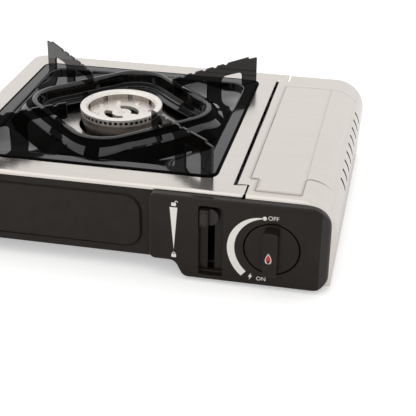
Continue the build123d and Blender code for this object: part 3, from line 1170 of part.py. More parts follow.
# Knob: disc in the panel's cup, with a bar grip and a hub on the valve stem
with BuildPart() as control_knob:
    with BuildSketch(front_plane(PANEL_FACE)) as disc:
        with Locations((KNOB_X, KNOB_AXIS)):
            Circle(KNOB_RADIUS)
    extrude(amount=KNOB_THICK, dir=REARWARD)
    chamfer(control_knob.faces().sort_by(Axis.Y)[0].edges(), KNOB_CLEARANCE)
    with BuildSketch(front_plane(PANEL_FACE)) as grip:
        with Locations((KNOB_X, KNOB_AXIS)):
            RectangleRounded(GRIP_WIDTH, GRIP_LENGTH, GRIP_EDGE)
    extrude(amount=GRIP_REACH)
    fillet(control_knob.faces().sort_by(Axis.Y)[0].edges(), GRIP_EDGE / 2)
    with BuildSketch(front_plane(PANEL_FACE + KNOB_THICK)) as hub:
        with Locations((KNOB_X, KNOB_AXIS)):
            Circle(KNOB_HUB_RADIUS)
    extrude(amount=KNOB_CUP_DEPTH - KNOB_THICK - SEAM, dir=REARWARD)
    with BuildSketch(front_plane(STEM_FRONT)) as stem_socket:
        with Locations((KNOB_X, KNOB_AXIS)):
            Circle(STEM_RADIUS)
    extrude(amount=KNOB_FLOOR - STEM_FRONT, dir=REARWARD, mode=Mode.SUBTRACT)
control_knob.part.label = "control_knob"
export_step(control_knob.part, "parts/control_knob.step")

# Lock lever: thumb pad in the cup, neck through the slot, slider behind the panel
PAD_BACK = LEVER_FLOOR - SLIDE_CLEARANCE
with BuildPart() as lock_lever:
    with BuildSketch(front_plane(PAD_BACK)) as pad:
        box_sketch((LEVER_X - PAD_SIZE / 2, LEVER_REST - PAD_SIZE / 2), (LEVER_X, LEVER_REST + PAD_SIZE / 2))
        with Locations((LEVER_X, LEVER_REST)):
            Circle(PAD_SIZE / 2)
    extrude(amount=PAD_THICK)
    with BuildSketch(front_plane(PAD_BACK - PAD_THICK)) as pad_ridge:
        box_sketch(
            (LEVER_X - PAD_SIZE / 2, LEVER_REST - PAD_SIZE / 2),
            (LEVER_X - PAD_SIZE / 2 + PAD_RIDGE_WIDTH, LEVER_REST + PAD_SIZE / 2),
        )
    extrude(amount=PAD_RIDGE)
    fillet(lock_lever.faces().sort_by(Axis.Y)[0].edges().filter_by(Axis.Z), PAD_RIDGE * 0.7)
    with BuildSketch(front_plane(PAD_BACK)) as neck:
        box_sketch(
            (LEVER_X - NECK_WIDTH / 2, NECK_BOTTOM),
            (LEVER_X + NECK_WIDTH / 2, NECK_BOTTOM + NECK_HEIGHT),
        )
    extrude(amount=SLIDER_FRONT - PAD_BACK, dir=REARWARD)
    with BuildSketch(front_plane(SLIDER_FRONT)) as slider:
        box_sketch(
            (LEVER_X - SLIDER_WIDTH / 2, NECK_BOTTOM),
            (LEVER_X + SLIDER_WIDTH / 2, NECK_BOTTOM + SLIDER_HEIGHT),
        )
    extrude(amount=SLIDER_LENGTH, dir=REARWARD)
    with BuildSketch(Plane.YZ.offset(LEVER_X)) as lever_pin_hole:
        with Locations((LEVER_PIN_Y, LEVER_PIN_Z)):
            Circle(LEVER_PIN_RADIUS)
    extrude(amount=SLIDER_WIDTH, mode=Mode.SUBTRACT)
lock_lever.part.label = "lock_lever"
export_step(lock_lever.part, "parts/lock_lever.step")

with BuildPart() as lever_pin:
    with BuildSketch(Plane.YZ.offset(LEVER_X)) as lever_pin_section:
        with Locations((LEVER_PIN_Y, LEVER_PIN_Z)):
            Circle(LEVER_PIN_RADIUS)
    extrude(amount=BAY_LEFT - SLIDE_CLEARANCE - LEVER_X)
lever_pin.part.label = "lever_pin"
export_step(lever_pin.part, "parts/lever_pin.step")

# Carriage that draws the cartridge onto the valve: slanted slot for the lever's pin, forked hook
PIN_ROOM = LEVER_PIN_RADIUS + SLIDE_CLEARANCE
EDGE_ROOM = PIN_ROOM + CARRIAGE_MARGIN
SLOT_RISE = LEVER_PIN_Z - LEVER_TRAVEL / 2
with BuildPart() as cartridge_carriage:
    with BuildSketch(Plane.YZ.offset(CARRIAGE_X - CARRIAGE_SHEET / 2)) as slide_plate:
        plate_front = LEVER_PIN_Y - EDGE_ROOM
        foot_rear = LEVER_PIN_Y + CARRIAGE_TRAVEL + EDGE_ROOM
        plate_top = LEVER_PIN_Z + EDGE_ROOM
        plate_bottom = LEVER_PIN_Z - LEVER_TRAVEL - EDGE_ROOM
        with BuildLine() as slide_outline:
            Polyline(
                (plate_front, plate_top),
                (LEVER_PIN_Y + EDGE_ROOM, plate_top),
                (foot_rear, ARM_TOP),
                (HOOK_PLANE, ARM_TOP),
                (HOOK_PLANE, ARM_BOTTOM),
                (foot_rear, ARM_BOTTOM),
                (foot_rear, plate_bottom),
                (foot_rear - 2 * EDGE_ROOM, plate_bottom),
                (plate_front, SLOT_RISE),
                close=True,
            )
        make_face()
        with Locations((LEVER_PIN_Y + CARRIAGE_TRAVEL / 2, SLOT_RISE)):
            slot_lean = Vector(-CARRIAGE_TRAVEL, LEVER_TRAVEL)
            SlotCenterToCenter(
                hypot(CARRIAGE_TRAVEL, LEVER_TRAVEL),
                2 * PIN_ROOM,
                rotation=Vector(1, 0).get_angle(slot_lean),
                mode=Mode.SUBTRACT,
            )
        with Locations(*[(STUD_Y + CARRIAGE_TRAVEL / 2, level) for level in STUD_LEVELS]):
            SlotCenterToCenter(CARRIAGE_TRAVEL, 2 * (STUD_RADIUS + SLIDE_CLEARANCE), mode=Mode.SUBTRACT)
    extrude(amount=CARRIAGE_SHEET)
    with BuildSketch(front_plane(HOOK_PLANE)) as hook:
        box_sketch((CARRIAGE_X - CARRIAGE_SHEET / 2, HOOK_BOTTOM), (CARTRIDGE_X + HOOK_REACH, HOOK_TOP))
        with Locations((CARTRIDGE_X, CARTRIDGE_AXIS)):
            Circle(FORK_RADIUS, mode=Mode.SUBTRACT)
        with Locations((CARTRIDGE_X, CARTRIDGE_AXIS + FORK_RADIUS)):
            Rectangle(2 * FORK_RADIUS, 2 * FORK_RADIUS, mode=Mode.SUBTRACT)
    extrude(amount=CARRIAGE_SHEET)
cartridge_carriage.part.label = "cartridge_carriage"
export_step(cartridge_carriage.part, "parts/cartridge_carriage.step")

# Shouldered studs on the partition that guide the carriage
with BuildPart() as guide_studs:
    shank = BAY_LEFT - CARRIAGE_X + CARRIAGE_SHEET / 2 + SLIDE_CLEARANCE
    with BuildSketch(Plane.YZ.offset(BAY_LEFT)) as shanks:
        with Locations(*[(STUD_Y, level) for level in STUD_LEVELS]):
            Circle(STUD_RADIUS)
    extrude(amount=-shank)
    with BuildSketch(Plane.YZ.offset(BAY_LEFT - shank)) as stud_heads:
        with Locations(*[(STUD_Y, level) for level in STUD_LEVELS]):
            Circle(STUD_HEAD_RADIUS)
    extrude(amount=-STUD_HEAD)
guide_studs.part.label = "guide_studs"
export_step(guide_studs.part, "parts/guide_studs.step")

# Rubber feet, each with a deep hole for its screw
for corner, (foot_x, foot_y, foot_top) in FEET.items():
    with BuildPart() as foot:
        with BuildSketch(Plane.XY) as foot_sole:
            with Locations((foot_x, foot_y)):
                Circle(FOOT_RADIUS - FOOT_TAPER)
        with BuildSketch(Plane.XY.offset(foot_top)) as foot_head:
            with Locations((foot_x, foot_y)):
                Circle(FOOT_RADIUS)
        loft()
        with BuildSketch(Plane.XY) as screw_well:
            with Locations((foot_x, foot_y)):
                Circle(SCREW_HEAD_RADIUS + SLIDE_CLEARANCE)
        extrude(amount=foot_top - FOOT_WEB, mode=Mode.SUBTRACT)
        with BuildSketch(Plane.XY.offset(foot_top)) as screw_way:
            with Locations((foot_x, foot_y)):
                Circle(SCREW_RADIUS)
        extrude(amount=-FOOT_WEB, mode=Mode.SUBTRACT)
    foot.part.label = f"foot_{corner}"
    export_step(foot.part, f"parts/foot_{corner}.step")


def screw_group(name, seats, shank):
    """Slotted pan-head screws; each seat is the plane under a head, facing along the shank."""
    with BuildPart() as screws:
        for seat in seats:
            with BuildSketch(seat) as shank_section:
                Circle(SCREW_RADIUS)
            extrude(amount=shank)
            with BuildSketch(seat) as head_section:
                Circle(SCREW_HEAD_RADIUS)
            extrude(amount=-SCREW_HEAD)
            with BuildSketch(seat.offset(-SCREW_HEAD)) as driver_slot:
                Rectangle(2 * SCREW_HEAD_RADIUS, SCREW_SLOT)
            extrude(amount=SCREW_HEAD / 2, mode=Mode.SUBTRACT)
    screws.part.label = name
    export_step(screws.part, f"parts/{name}.step")


screw_group(
    "foot_screws",
    [Plane((x, y, top - FOOT_WEB), z_dir=(0, 0, 1)) for x, y, top in FEET.values()],
    FOOT_WEB + CASE_SHEET,
)
screw_group(
    "panel_screws",
    [Plane((x, BAY_FRONT + CASE_SHEET, z), z_dir=(0, -1, 0)) for x, z in PANEL_BOSSES],
    SCREW_GRIP,
)
screw_group(
    "regulator_screws",
    [Plane((x, BAY_FRONT, z), z_dir=REARWARD) for x, z in REGULATOR_SCREWS],
    SCREW_GRIP,
)
screw_group(
    "burner_screws",
    [Plane((x, y, BASE_BOTTOM - BRACKET_SHEET), z_dir=(0, 0, 1)) for x, y in BURNER_SCREWS],
    BRACKET_SHEET + BASE_WALL / 2,
)
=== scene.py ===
# %% [markdown]
# # A portable gas stove for the camp table
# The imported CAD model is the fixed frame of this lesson: every node already lies where it belongs, in
# metres, with the origin on the table under the middle of the stove, X to the cook's right, Y to the
# rear and Z up. CAD shapes are exact but sharp. Sheet metal is bent, castings are blunt and mouldings
# are drafted, so the pieces that catch the light are worked out again here with those bends and edges,
# in the same places. Lengths are in millimetres until a piece is made.

# %% Load the frame
import json

import bmesh
import bpy
import numpy as np
from mathutils import Matrix, Vector
from mathutils.geometry import delaunay_2d_cdt


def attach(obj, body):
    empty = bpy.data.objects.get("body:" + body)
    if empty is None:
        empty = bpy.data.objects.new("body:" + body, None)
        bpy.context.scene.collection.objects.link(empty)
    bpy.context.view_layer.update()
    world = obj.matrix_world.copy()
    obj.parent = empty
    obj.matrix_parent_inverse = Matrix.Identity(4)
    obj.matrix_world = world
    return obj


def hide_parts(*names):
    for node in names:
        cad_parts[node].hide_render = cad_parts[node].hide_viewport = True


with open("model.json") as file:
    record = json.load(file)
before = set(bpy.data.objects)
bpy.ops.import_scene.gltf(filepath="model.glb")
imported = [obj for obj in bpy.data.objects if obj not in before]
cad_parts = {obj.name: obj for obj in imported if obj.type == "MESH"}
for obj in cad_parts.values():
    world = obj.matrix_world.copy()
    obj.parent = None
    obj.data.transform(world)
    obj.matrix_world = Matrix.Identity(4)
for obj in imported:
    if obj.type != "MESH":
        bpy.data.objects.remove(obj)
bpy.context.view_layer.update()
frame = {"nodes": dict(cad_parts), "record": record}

MM = 0.001

# %% [markdown]
# ## The camera first
# The photograph was taken from the front, a little to the right and well above the stove, with a long
# lens, so that the edges hardly run together. The camera could be turned by eye until it fits. Here its
# place and its turn are worked out from three angles instead: 11.4 degrees round, 28 degrees up and a
# slight roll.

# %% Place the camera
IMAGE_WIDTH, FOCAL_LENGTH, SENSOR = 416, 1056, 36.0  # the first two in pixels of the photograph


def placed(axes, place):
    """Matrix of an object at a place in metres: its columns are the object's own X, Y and Z axes as unit
    vectors, and then the place."""
    return Matrix([*np.column_stack([*axes, place]).tolist(), [0, 0, 0, 1]])


turn, rise, roll = np.radians([11.4, 28.0, 0.67])
back = np.array([np.sin(turn) * np.cos(rise), -np.cos(turn) * np.cos(rise), np.sin(rise)])
level = np.array([np.cos(turn), np.sin(turn), 0.0])
above = np.cross(back, level)
camera_axes = [np.cos(roll) * level + np.sin(roll) * above, np.cos(roll) * above - np.sin(roll) * level, back]
eye = np.array([210.4, -836.8, 450.3]) * MM
lens = bpy.data.cameras.new("photo_camera")
lens.sensor_width, lens.lens = SENSOR, SENSOR * FOCAL_LENGTH / IMAGE_WIDTH
camera = bpy.data.objects.new("photo_camera", lens)
camera.matrix_world = placed(camera_axes, eye)
bpy.context.collection.objects.link(camera)
bpy.context.scene.camera = camera
print("camera at", eye, "lens", round(lens.lens, 1), "mm")

# %% [markdown]
# ## Outlines with round corners
# Nearly every edge on the stove is an outline whose corners are rounded: the plate, the pan, the panel,
# and also the small bends of the sheet seen in section. A bevel tool could round them one by one. One
# function of the corner points is shorter and exact, and gives the outward direction at each point as
# well, which makes it easy to move an outline in or out.

# %% Outlines
def rounded_path(corners, closed=True, steps=7):
    """Walks a polygon of (a, b, radius) and puts an arc in each corner. The arc starts radius times
    tan(turn / 2) before the corner, and its points are centre + radius (sin h, -cos h) while the heading
    h swings from one run to the next. Gives the points, and the normal on the right hand of the heading,
    which is outwards on an anticlockwise loop."""
    corners = np.asarray(corners, float)
    spot, radius = corners[:, :2], corners[:, 2]
    come, go = spot - np.roll(spot, 1, axis=0), np.roll(spot, -1, axis=0) - spot
    if not closed:
        come[0], go[-1] = go[0], come[-1]
    heading = np.arctan2(come[:, 1], come[:, 0])
    swing = np.arctan2(come[:, 0] * go[:, 1] - come[:, 1] * go[:, 0], np.sum(come * go, axis=1))
    signed = radius * np.where(swing < 0, -1, 1)
    reach = radius * np.tan(np.abs(swing) / 2)
    start = spot - come / np.linalg.norm(come, axis=1, keepdims=True) * reach[:, None]
    centre = start + np.stack([-np.sin(heading), np.cos(heading)], -1) * signed[:, None]
    h = heading[:, None] + swing[:, None] * np.linspace(0, 1, steps)
    normal = np.stack([np.sin(h), -np.cos(h)], -1)
    points = centre[:, None] + normal * signed[:, None, None]
    return points.reshape(-1, 2), normal.reshape(-1, 2)


def rectangle(low, high, radius, steps=7):
    """Rounded rectangle between two corners, anticlockwise from the low corner."""
    (a, b), (c, d) = low, high
    return rounded_path([(a, b, radius), (c, b, radius), (c, d, radius), (a, d, radius)], steps=steps)


def circle(radius, count, centre=(0.0, 0.0)):
    """Circle of count points, anticlockwise: centre + radius (cos t, sin t). Its normal is (cos t, sin t)."""
    t = np.linspace(0, 2 * np.pi, count, endpoint=False)
    normal = np.stack([np.cos(t), np.sin(t)], -1)
    return np.asarray(centre) + radius * normal, normal


def bend(*corners, steps=6):
    """Section of a bent sheet: an open rounded path of (offset, height, radius), less its repeated points."""
    path = rounded_path(corners, closed=False, steps=steps)[0]
    return path[np.append(True, np.abs(np.diff(path, axis=0)).max(axis=1) > 1e-9)]


print("outline of a 10 mm square with 2 mm corners:", len(rectangle((0, 0), (10, 10), 2)[0]), "points")

# %% [markdown]
# ## Surfaces from arrays
# A sheet that follows an outline is a profile carried along a path: one formula gives all its points as
# a grid, and the grid's neighbours are its faces. Flat fields with holes have no such grid, so a
# triangulation fills them between their edges. Pieces made in this way could also come from curve
# objects with a bevel, but those can't change along the way, as the plate's lip does at its tabs.

# %% Grids
TOP = np.eye(3)  # an outline seen from above: along X, along Y, height Z
FRONT = np.array([[1, 0, 0], [0, 0, 1], [0, -1, 0]], float)  # from the front: along X, along Z, height to -Y


def grid(points, wrap=False):
    """Faces of a grid of points (rows, columns, 3): four neighbours make a quad, and wrap closes the rows."""
    rows, columns = points.shape[:2]
    index = np.arange(rows * columns).reshape(rows, columns)
    if wrap:
        index = np.concatenate([index, index[:, :1]], axis=1)
    quads = np.stack([index[:-1, :-1], index[:-1, 1:], index[1:, 1:], index[1:, :-1]], -1)
    return points.reshape(-1, 3), quads.reshape(-1, 4)


def carry(outline, profile, view=TOP, wrap=True, share=None):
    """Profile carried along an outline: point (i, j) is path[j] + offset[i] normal[j] at height[i].
    Where share is below 1, the profile is drawn that much smaller towards its last point."""
    path, normal = outline
    offset, height = np.asarray(profile, float).T
    share = np.ones(len(path)) if share is None else share
    flat = path + (offset[:, None] * share)[..., None] * normal
    up = height[-1] + (height[:, None] - height[-1]) * share
    return grid(np.concatenate([flat, up[..., None]], axis=-1) @ view, wrap)


def moved(outline, offset):
    """Loop of an outline moved outwards by offset along its normals."""
    return outline[0] + np.asarray(offset)[..., None] * outline[1]


small_band = carry(rectangle((0, 0), (10, 10), 2), [(0, 0), (1, 1)])
print("band carried round that square:", len(small_band[1]), "faces")


# %% Flat fields
def within(points, loop):
    """Which points lie in a loop: those from which a ray to the right crosses an odd number of its edges."""
    (x, y), a, b = points.T[..., None], loop, np.roll(loop, -1, axis=0)
    rising = (a[:, 1] > y) != (b[:, 1] > y)
    with np.errstate(divide="ignore", invalid="ignore"):
        cross = a[:, 0] + (y - a[:, 1]) / (b[:, 1] - a[:, 1]) * (b[:, 0] - a[:, 0])
    return np.sum(rising & (cross > x), axis=1) % 2


def flat_field(loops, height, view=TOP, lines=()):
    """Flat field between loops at one height: a constrained triangulation, of which the triangles inside
    an odd number of loops stay. lines are pairs of points that become edges of it; height may be a
    function of the points."""
    counts = np.cumsum([0] + [len(loop) for loop in loops])
    points = np.concatenate([*loops, *lines])
    following = [np.roll(np.arange(first, last), -1) for first, last in zip(counts, counts[1:])]
    edges = np.column_stack([np.arange(counts[-1]), np.concatenate(following)]).tolist()
    edges += (counts[-1] + np.arange(2 * len(lines)).reshape(-1, 2)).tolist()
    spots, _, faces = delaunay_2d_cdt(points.tolist(), edges, [], 1, 1e-6)[:3]
    spots, faces = np.array(spots), np.array(faces)
    inside = sum(within(spots[faces].mean(axis=1), loop) for loop in loops) % 2 == 1
    up = height(spots) if callable(height) else np.full(len(spots), float(height))
    return np.column_stack([spots, up]) @ view, faces[inside]


print("flat field in a circle of 12 points:", len(flat_field([circle(5, 12)[0]], 0)[1]), "triangles")

# %% [markdown]
# ## From arrays to a piece
# The parts of a piece are joined, their seams are merged and the faces are turned outwards. A sheet gets
# its gauge from a Solidify modifier, which is applied, and weighted normals keep large flats flat beside
# small bends. Each piece then rides on a body of the mechanism and takes the place of its CAD node.

# %% Make a piece
def make_piece(name, parts, body, material, nodes=(), gauge=0.0, inside=None, sharp=35):
    """Joins (points, faces) parts given in millimetres. A closed shape turns outwards by itself; a sheet
    faces away from the point inside, taken over its area, and grows by its gauge on that side."""
    starts = np.cumsum([0] + [len(points) for points, _ in parts])
    corners = [face for (_, faces), start in zip(parts, starts) for face in (faces + start).tolist()]
    mesh = bpy.data.meshes.new(name)
    mesh.from_pydata(np.concatenate([points for points, _ in parts]) * MM, [], corners)
    shape = bmesh.new()
    shape.from_mesh(mesh)
    bmesh.ops.remove_doubles(shape, verts=shape.verts, dist=2e-6)
    bmesh.ops.dissolve_degenerate(shape, dist=1e-6, edges=shape.edges)
    bmesh.ops.delete(shape, geom=[v for v in shape.verts if not v.link_faces], context="VERTS")
    bmesh.ops.recalc_face_normals(shape, faces=shape.faces)
    if inside is not None:
        core = Vector(inside) * MM
        away = sum((f.calc_center_median() - core).dot(f.normal) * f.calc_area() for f in shape.faces)
        if away < 0:
            bmesh.ops.reverse_faces(shape, faces=shape.faces)
    shape.to_mesh(mesh)
    shape.free()
    piece = bpy.data.objects.new(name, mesh)
    bpy.context.collection.objects.link(piece)
    if gauge:
        sheet = piece.modifiers.new("Gauge", "SOLIDIFY")
        sheet.thickness, sheet.offset, sheet.use_quality_normals = gauge * MM, -1.0, True
        solid = bpy.data.meshes.new_from_object(piece.evaluated_get(bpy.context.evaluated_depsgraph_get()))
        piece.modifiers.clear()
        piece.data, solid.name = solid, name
    piece.data.shade_smooth()
    piece.data.set_sharp_from_angle(angle=np.radians(sharp))
    piece.modifiers.new("Even shading", "WEIGHTED_NORMAL").keep_sharp = True
    piece.data.materials.clear()
    piece.data.materials.append(material)
    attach(piece, body)
    if nodes:
        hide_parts(*nodes)
    print(name, "faces", len(piece.data.polygons), "on", body)
    return piece


def second_finish(piece, material, where):
    """Gives a further finish to the faces whose middles, in millimetres, pass the test where."""
    piece.data.materials.append(material)
    middles = np.empty(3 * len(piece.data.polygons))
    piece.data.polygons.foreach_get("center", middles)
    index = np.empty(len(piece.data.polygons), np.int32)
    piece.data.polygons.foreach_get("material_index", index)
    chosen = where(middles.reshape(-1, 3) / MM)
    index[chosen] = len(piece.data.materials) - 1
    piece.data.polygons.foreach_set("material_index", index)
    print(piece.name, "has", material.name, "on", int(chosen.sum()), "faces")


# %% [markdown]
# ## Finishes
# Each finish is a small node tree that starts from the real material: what it is, how its surface was
# made and what that does to light. One function adds a node with its settings and links, and patterns
# read Object coordinates, so that their scale is a real size in metres and nothing slides when a piece
# moves.

# %% Node helpers
def linear(hex_colour):
    """sRGB hex to linear RGBA: c / 12.92 below 0.04045, else ((c + 0.055) / 1.055) to the power 2.4."""
    c = np.array([int(hex_colour[i:i + 2], 16) for i in (1, 3, 5)]) / 255
    return (*np.where(c <= 0.04045, c / 12.92, ((c + 0.055) / 1.055) ** 2.4).tolist(), 1.0)


def add(tree, kind, inputs=None, **settings):
    """Adds one node. settings are its own properties; inputs are values for its sockets, or outputs to
    link to them."""
    new = tree.nodes.new("ShaderNode" + kind)
    for key, value in settings.items():
        setattr(new, key, value)
    for key, value in (inputs or {}).items():
        if isinstance(value, bpy.types.NodeSocket):
            tree.links.new(value, new.inputs[key])
        else:
            new.inputs[key].default_value = value
    return new


print("middle grey, #808080, is", round(linear("#808080")[0], 3), "in linear light")


# %% One kind of finish
COLOURS_OF_MIX = (6, 7, 2)  # the two colour inputs and the colour output of a Mix node that is set to RGBA


def finish(name, light, dark, size, smooth, rough, metallic=0.0, stretch=(1, 1, 1), dent=0.0, grain=None,
           ior=1.5, mirror=0.5, edge_shade=None, detail=3.0):
    """A finish from one pattern of a real size in millimetres: the pattern's noise runs the colour from
    dark to light and the roughness from smooth to rough, and a finer grain of its own size dents the
    surface by dent millimetres. mirror is the strength of a plastic's or paint's reflection, where 0.5
    is what its IOR gives. The colour after mirror is painted shade along a pressed edge, laid where the
    piece's own attribute of the same name marks the edge."""
    material = bpy.data.materials.new(name)
    material.use_nodes = True
    tree = material.node_tree
    shader = tree.nodes["Principled BSDF"]
    place = add(tree, "Mapping", {"Vector": add(tree, "TexCoord").outputs["Object"], "Scale": stretch})
    cloud = add(tree, "TexNoise", {"Vector": place.outputs[0], "Scale": 1 / (size * MM), "Detail": detail})
    tone = add(tree, "ValToRGB", {"Fac": cloud.outputs["Fac"]})
    low, high = tone.color_ramp.elements
    low.position, low.color = 0.3, linear(dark)
    high.position, high.color = 0.7, linear(light)
    gloss = add(tree, "MapRange", {"Value": cloud.outputs["Fac"], "From Min": 0.3, "From Max": 0.7,
                                   "To Min": smooth, "To Max": rough})
    colour = tone.outputs["Color"]
    # painted shade: the colour is darkened along pressed edges, where the piece's attribute marks them
    if edge_shade:
        first, second, mixed = COLOURS_OF_MIX
        line = add(tree, "Attribute", attribute_name="edge_shade")
        colour = add(tree, "Mix", {"Factor": line.outputs["Fac"], first: colour, second: linear(edge_shade)},
                     data_type="RGBA").outputs[mixed]
    tree.links.new(colour, shader.inputs["Base Color"])
    tree.links.new(gloss.outputs["Result"], shader.inputs["Roughness"])
    if dent:
        fine = add(tree, "TexNoise", {"Vector": place.outputs[0], "Scale": 1 / ((grain or size) * MM),
                                      "Detail": 2.0})
        bump = add(tree, "Bump", {"Height": fine.outputs["Fac"], "Strength": 1.0, "Distance": dent * MM})
        tree.links.new(bump.outputs["Normal"], shader.inputs["Normal"])
    shader.inputs["Metallic"].default_value = metallic
    if not metallic:
        shader.inputs["IOR"].default_value = ior
        shader.inputs["Specular IOR Level"].default_value = mirror
    return material


# %% [markdown]
# ### Metals
# The top plate and lid are bright rolled stainless sheet. Rolling leaves lines too fine to see, which
# only soften the mirror along X, so they are drawn as coarse as 3 mm and stretched thirty times that
# way. The burner is die-cast aluminium, blasted to an even grain of just under a millimetre, with painted
# shade that darkens the inner wall of its bowl and paints its ports nearly black, and its base is left
# as cast, which is rougher; that rough finish also paints shade into the recesses of the bowl. Small
# parts are zinc-plated steel, with the cloudy bloom of the plating bath, and the gas fittings are turned
# brass. A metal keeps the default IOR.

# %% Metal finishes
# the stainless finish paints shade in #847D78 along the pressed edges that the lid marks
stainless = finish("rolled_stainless", "#DAD3CD", "#D6CFC9", 3.0, 0.17, 0.2, metallic=1.0,
                   stretch=(0.03, 1, 1), edge_shade="#847D78")
cast_bright = finish("blasted_cast_aluminium", "#F2EDE8", "#E2DCD6", 3.0, 0.46, 0.56, metallic=1.0,
                     dent=0.014, grain=0.9)
# painted shade for the bowl's inner wall: a darker, rougher copy of the cast aluminium
cast_wall_shade = finish("aluminium_wall_painted_shade", "#ACA49D", "#978E87", 4.0, 0.5, 0.62, metallic=1.0,
                   dent=0.014, grain=0.9)
# the base's own rough cast finish, also used as painted shade in the bowl's recesses
cast_raw_and_recess_shade = finish("raw_cast_aluminium_and_recess_shade", "#8E857E", "#766D67", 5.0, 0.5, 0.66, metallic=1.0, dent=0.05,
                  grain=1.4)
# painted shade: near black for the ports under the rim, which are holes
port_shade = finish("port_painted_shade", "#211D1A", "#14110F", 1.5, 0.7, 0.85, dent=0.03, grain=0.8)
zinc_cast = finish("die_cast_zinc", "#A3A2A0", "#878684", 6.0, 0.42, 0.55, metallic=1.0, dent=0.03, grain=0.9)
zinc_plate = finish("zinc_plated_steel", "#C0C3C5", "#B6B9BB", 16.0, 0.25, 0.33, metallic=1.0,
                    stretch=(1, 0.25, 1), detail=1.5)
brass = finish("turned_brass", "#BC9A5C", "#9C7A42", 4.0, 0.2, 0.34, metallic=1.0, dent=0.006, grain=0.5)
metals = (stainless, cast_bright, cast_wall_shade, cast_raw_and_recess_shade, port_shade, zinc_cast, zinc_plate, brass)
print("metals", [metal.name for metal in metals])

# %% [markdown]
# ### Paint, enamel and plastic
# The case is sprayed satin black, with the fine skin that paint draws as it dries. The drip pan and its
# supports are fired enamel, a glass: nearly black, mirror-smooth and slightly wavy. On the flange's edge
# and on the climb to the ridge round the burner their reflection is taken away, so that these faces
# render black: this is painted shade. The panel and knob are polished black ABS with a faint waviness
# from the mould, and the lever and igniter are the same plastic left satin. Feet, seal and lead are
# rubber, and the spark electrode stands in glazed ceramic. The marks are screen-printed ink.

# %% Dark finishes
satin_paint = finish("satin_black_paint", "#282320", "#221D1A", 9.0, 0.36, 0.44, dent=0.006, grain=1.1,
                     mirror=0.18)
enamel = finish("black_enamel", "#0D0B0A", "#080706", 12.0, 0.04, 0.09, dent=0.012, grain=9.0, ior=1.55)
# painted shade: enamel whose reflection is taken away, so that it renders black where it is laid
shade_enamel = finish("enamel_painted_shade", "#090807", "#050404", 10.0, 0.5, 0.65, dent=0.01, grain=2.0,
                      ior=1.55, mirror=0.012)
gloss_abs = finish("polished_black_abs", "#251F1A", "#1F1915", 20.0, 0.08, 0.13, dent=0.005, grain=14.0,
                   ior=1.53, mirror=0.18)
satin_abs = finish("satin_black_abs", "#2A2521", "#231E1B", 3.0, 0.34, 0.44, dent=0.01, grain=0.7, ior=1.53,
                   mirror=0.3)
rubber = finish("black_rubber", "#242322", "#1B1A1A", 4.0, 0.6, 0.75, dent=0.02, grain=0.8, ior=1.52)
print("dark finishes", [m.name for m in (satin_paint, enamel, shade_enamel, gloss_abs, satin_abs, rubber)])

# %% Ceramic and ink
ceramic = finish("glazed_ceramic", "#E9E4DA", "#DDD6C8", 5.0, 0.12, 0.2, dent=0.004, grain=2.0, ior=1.55)
white_ink = finish("white_print", "#F1ECE6", "#E4DED8", 1.2, 0.42, 0.52)
red_ink = finish("red_print", "#C23A2C", "#A82E22", 1.2, 0.4, 0.5)
print("ceramic and ink", [m.name for m in (ceramic, white_ink, red_ink)])

# %% [markdown]
# ### CAD nodes that stay
# Inside the stove the CAD shapes are right as they are. Their nodes keep their meshes and only take a
# finish. The burner's base takes the rougher one, because it was never blasted.

# %% Give every node its finish
SLOT_FINISH = {
    "stainless": stainless, "black_paint": satin_paint, "black_enamel": enamel, "cast_aluminium": cast_bright,
    "zinc_casting": zinc_cast, "zinc_steel": zinc_plate, "brass": brass, "gloss_black": gloss_abs,
    "satin_black": satin_abs, "rubber": rubber, "ceramic": ceramic,
}
slot_of = {p["node"]: p["material_slot"] for p in frame["record"]["subparts"]}
for name, node in frame["nodes"].items():
    node.data.materials.clear()
    node.data.materials.append(SLOT_FINISH[slot_of[name]])
frame["nodes"]["burner_base"].data.materials[0] = cast_raw_and_recess_shade
print("finished nodes", len(frame["nodes"]))

# %% [markdown]
# ## The top plate
# One stainless sheet covers the burner's half: a lip is folded down along its edges, two small tabs
# reach over the ends of the lid's hinge, and a square well is pressed into it for the drip pan. A cube
# with bevels would miss the folds. The lip is a bent section carried round the outline, drawn small
# along the tabs, which have no lip, and the well is a second section carried round the well's edge. Flat
# fields join them. The hole for the burner bulges at the rear, where the spark electrode passes.

# %% Top plate
BURNER = np.array([-40.5, 9.3])  # the burner's axis, seen from above
PLATE_TOP, WELL_FLOOR = 78.0, 69.5
HOLE_RADIUS, HOLE_BULGE, BULGE_WIDTH = 38.4, 5.6, 17.0  # the width in degrees
ELECTRODE = np.radians(100)  # bearing of the spark electrode
plate_edge = rounded_path([(-168, -124, 13), (94.5, -124, 3), (94.5, -106.5, 0.8), (83.7, -106.5, 0.8),
                           (83.7, 124.5, 0.8), (94.5, 124.5, 0.8), (94.5, 142, 3), (-168, 142, 13)], steps=10)
on_tab = (plate_edge[0][:, 0] > 84.6) & (plate_edge[0][:, 1] > -123) & (plate_edge[0][:, 1] < 141)
lip_share = np.where(on_tab, 0.15, 1.0)
well_edge = rectangle(BURNER - 98.5, BURNER + 98.5, 15, steps=10)
_, hole_way = circle(1, 144)
electrode_way = np.array([np.cos(ELECTRODE), np.sin(ELECTRODE)])
by_electrode = np.degrees(np.arccos(np.clip(hole_way @ electrode_way, -1, 1)))
hole_reach = HOLE_RADIUS + HOLE_BULGE * np.exp(-(by_electrode / BULGE_WIDTH) ** 2)
well_hole = BURNER + hole_reach[:, None] * hole_way
lip_section = bend((0, 74.8, 0), (0, PLATE_TOP, 2.3), (-3, PLATE_TOP, 0))
well_section = bend((2.6, PLATE_TOP, 0), (0, PLATE_TOP, 1.6), (0, WELL_FLOOR, 1.6), (-3, WELL_FLOOR, 0))
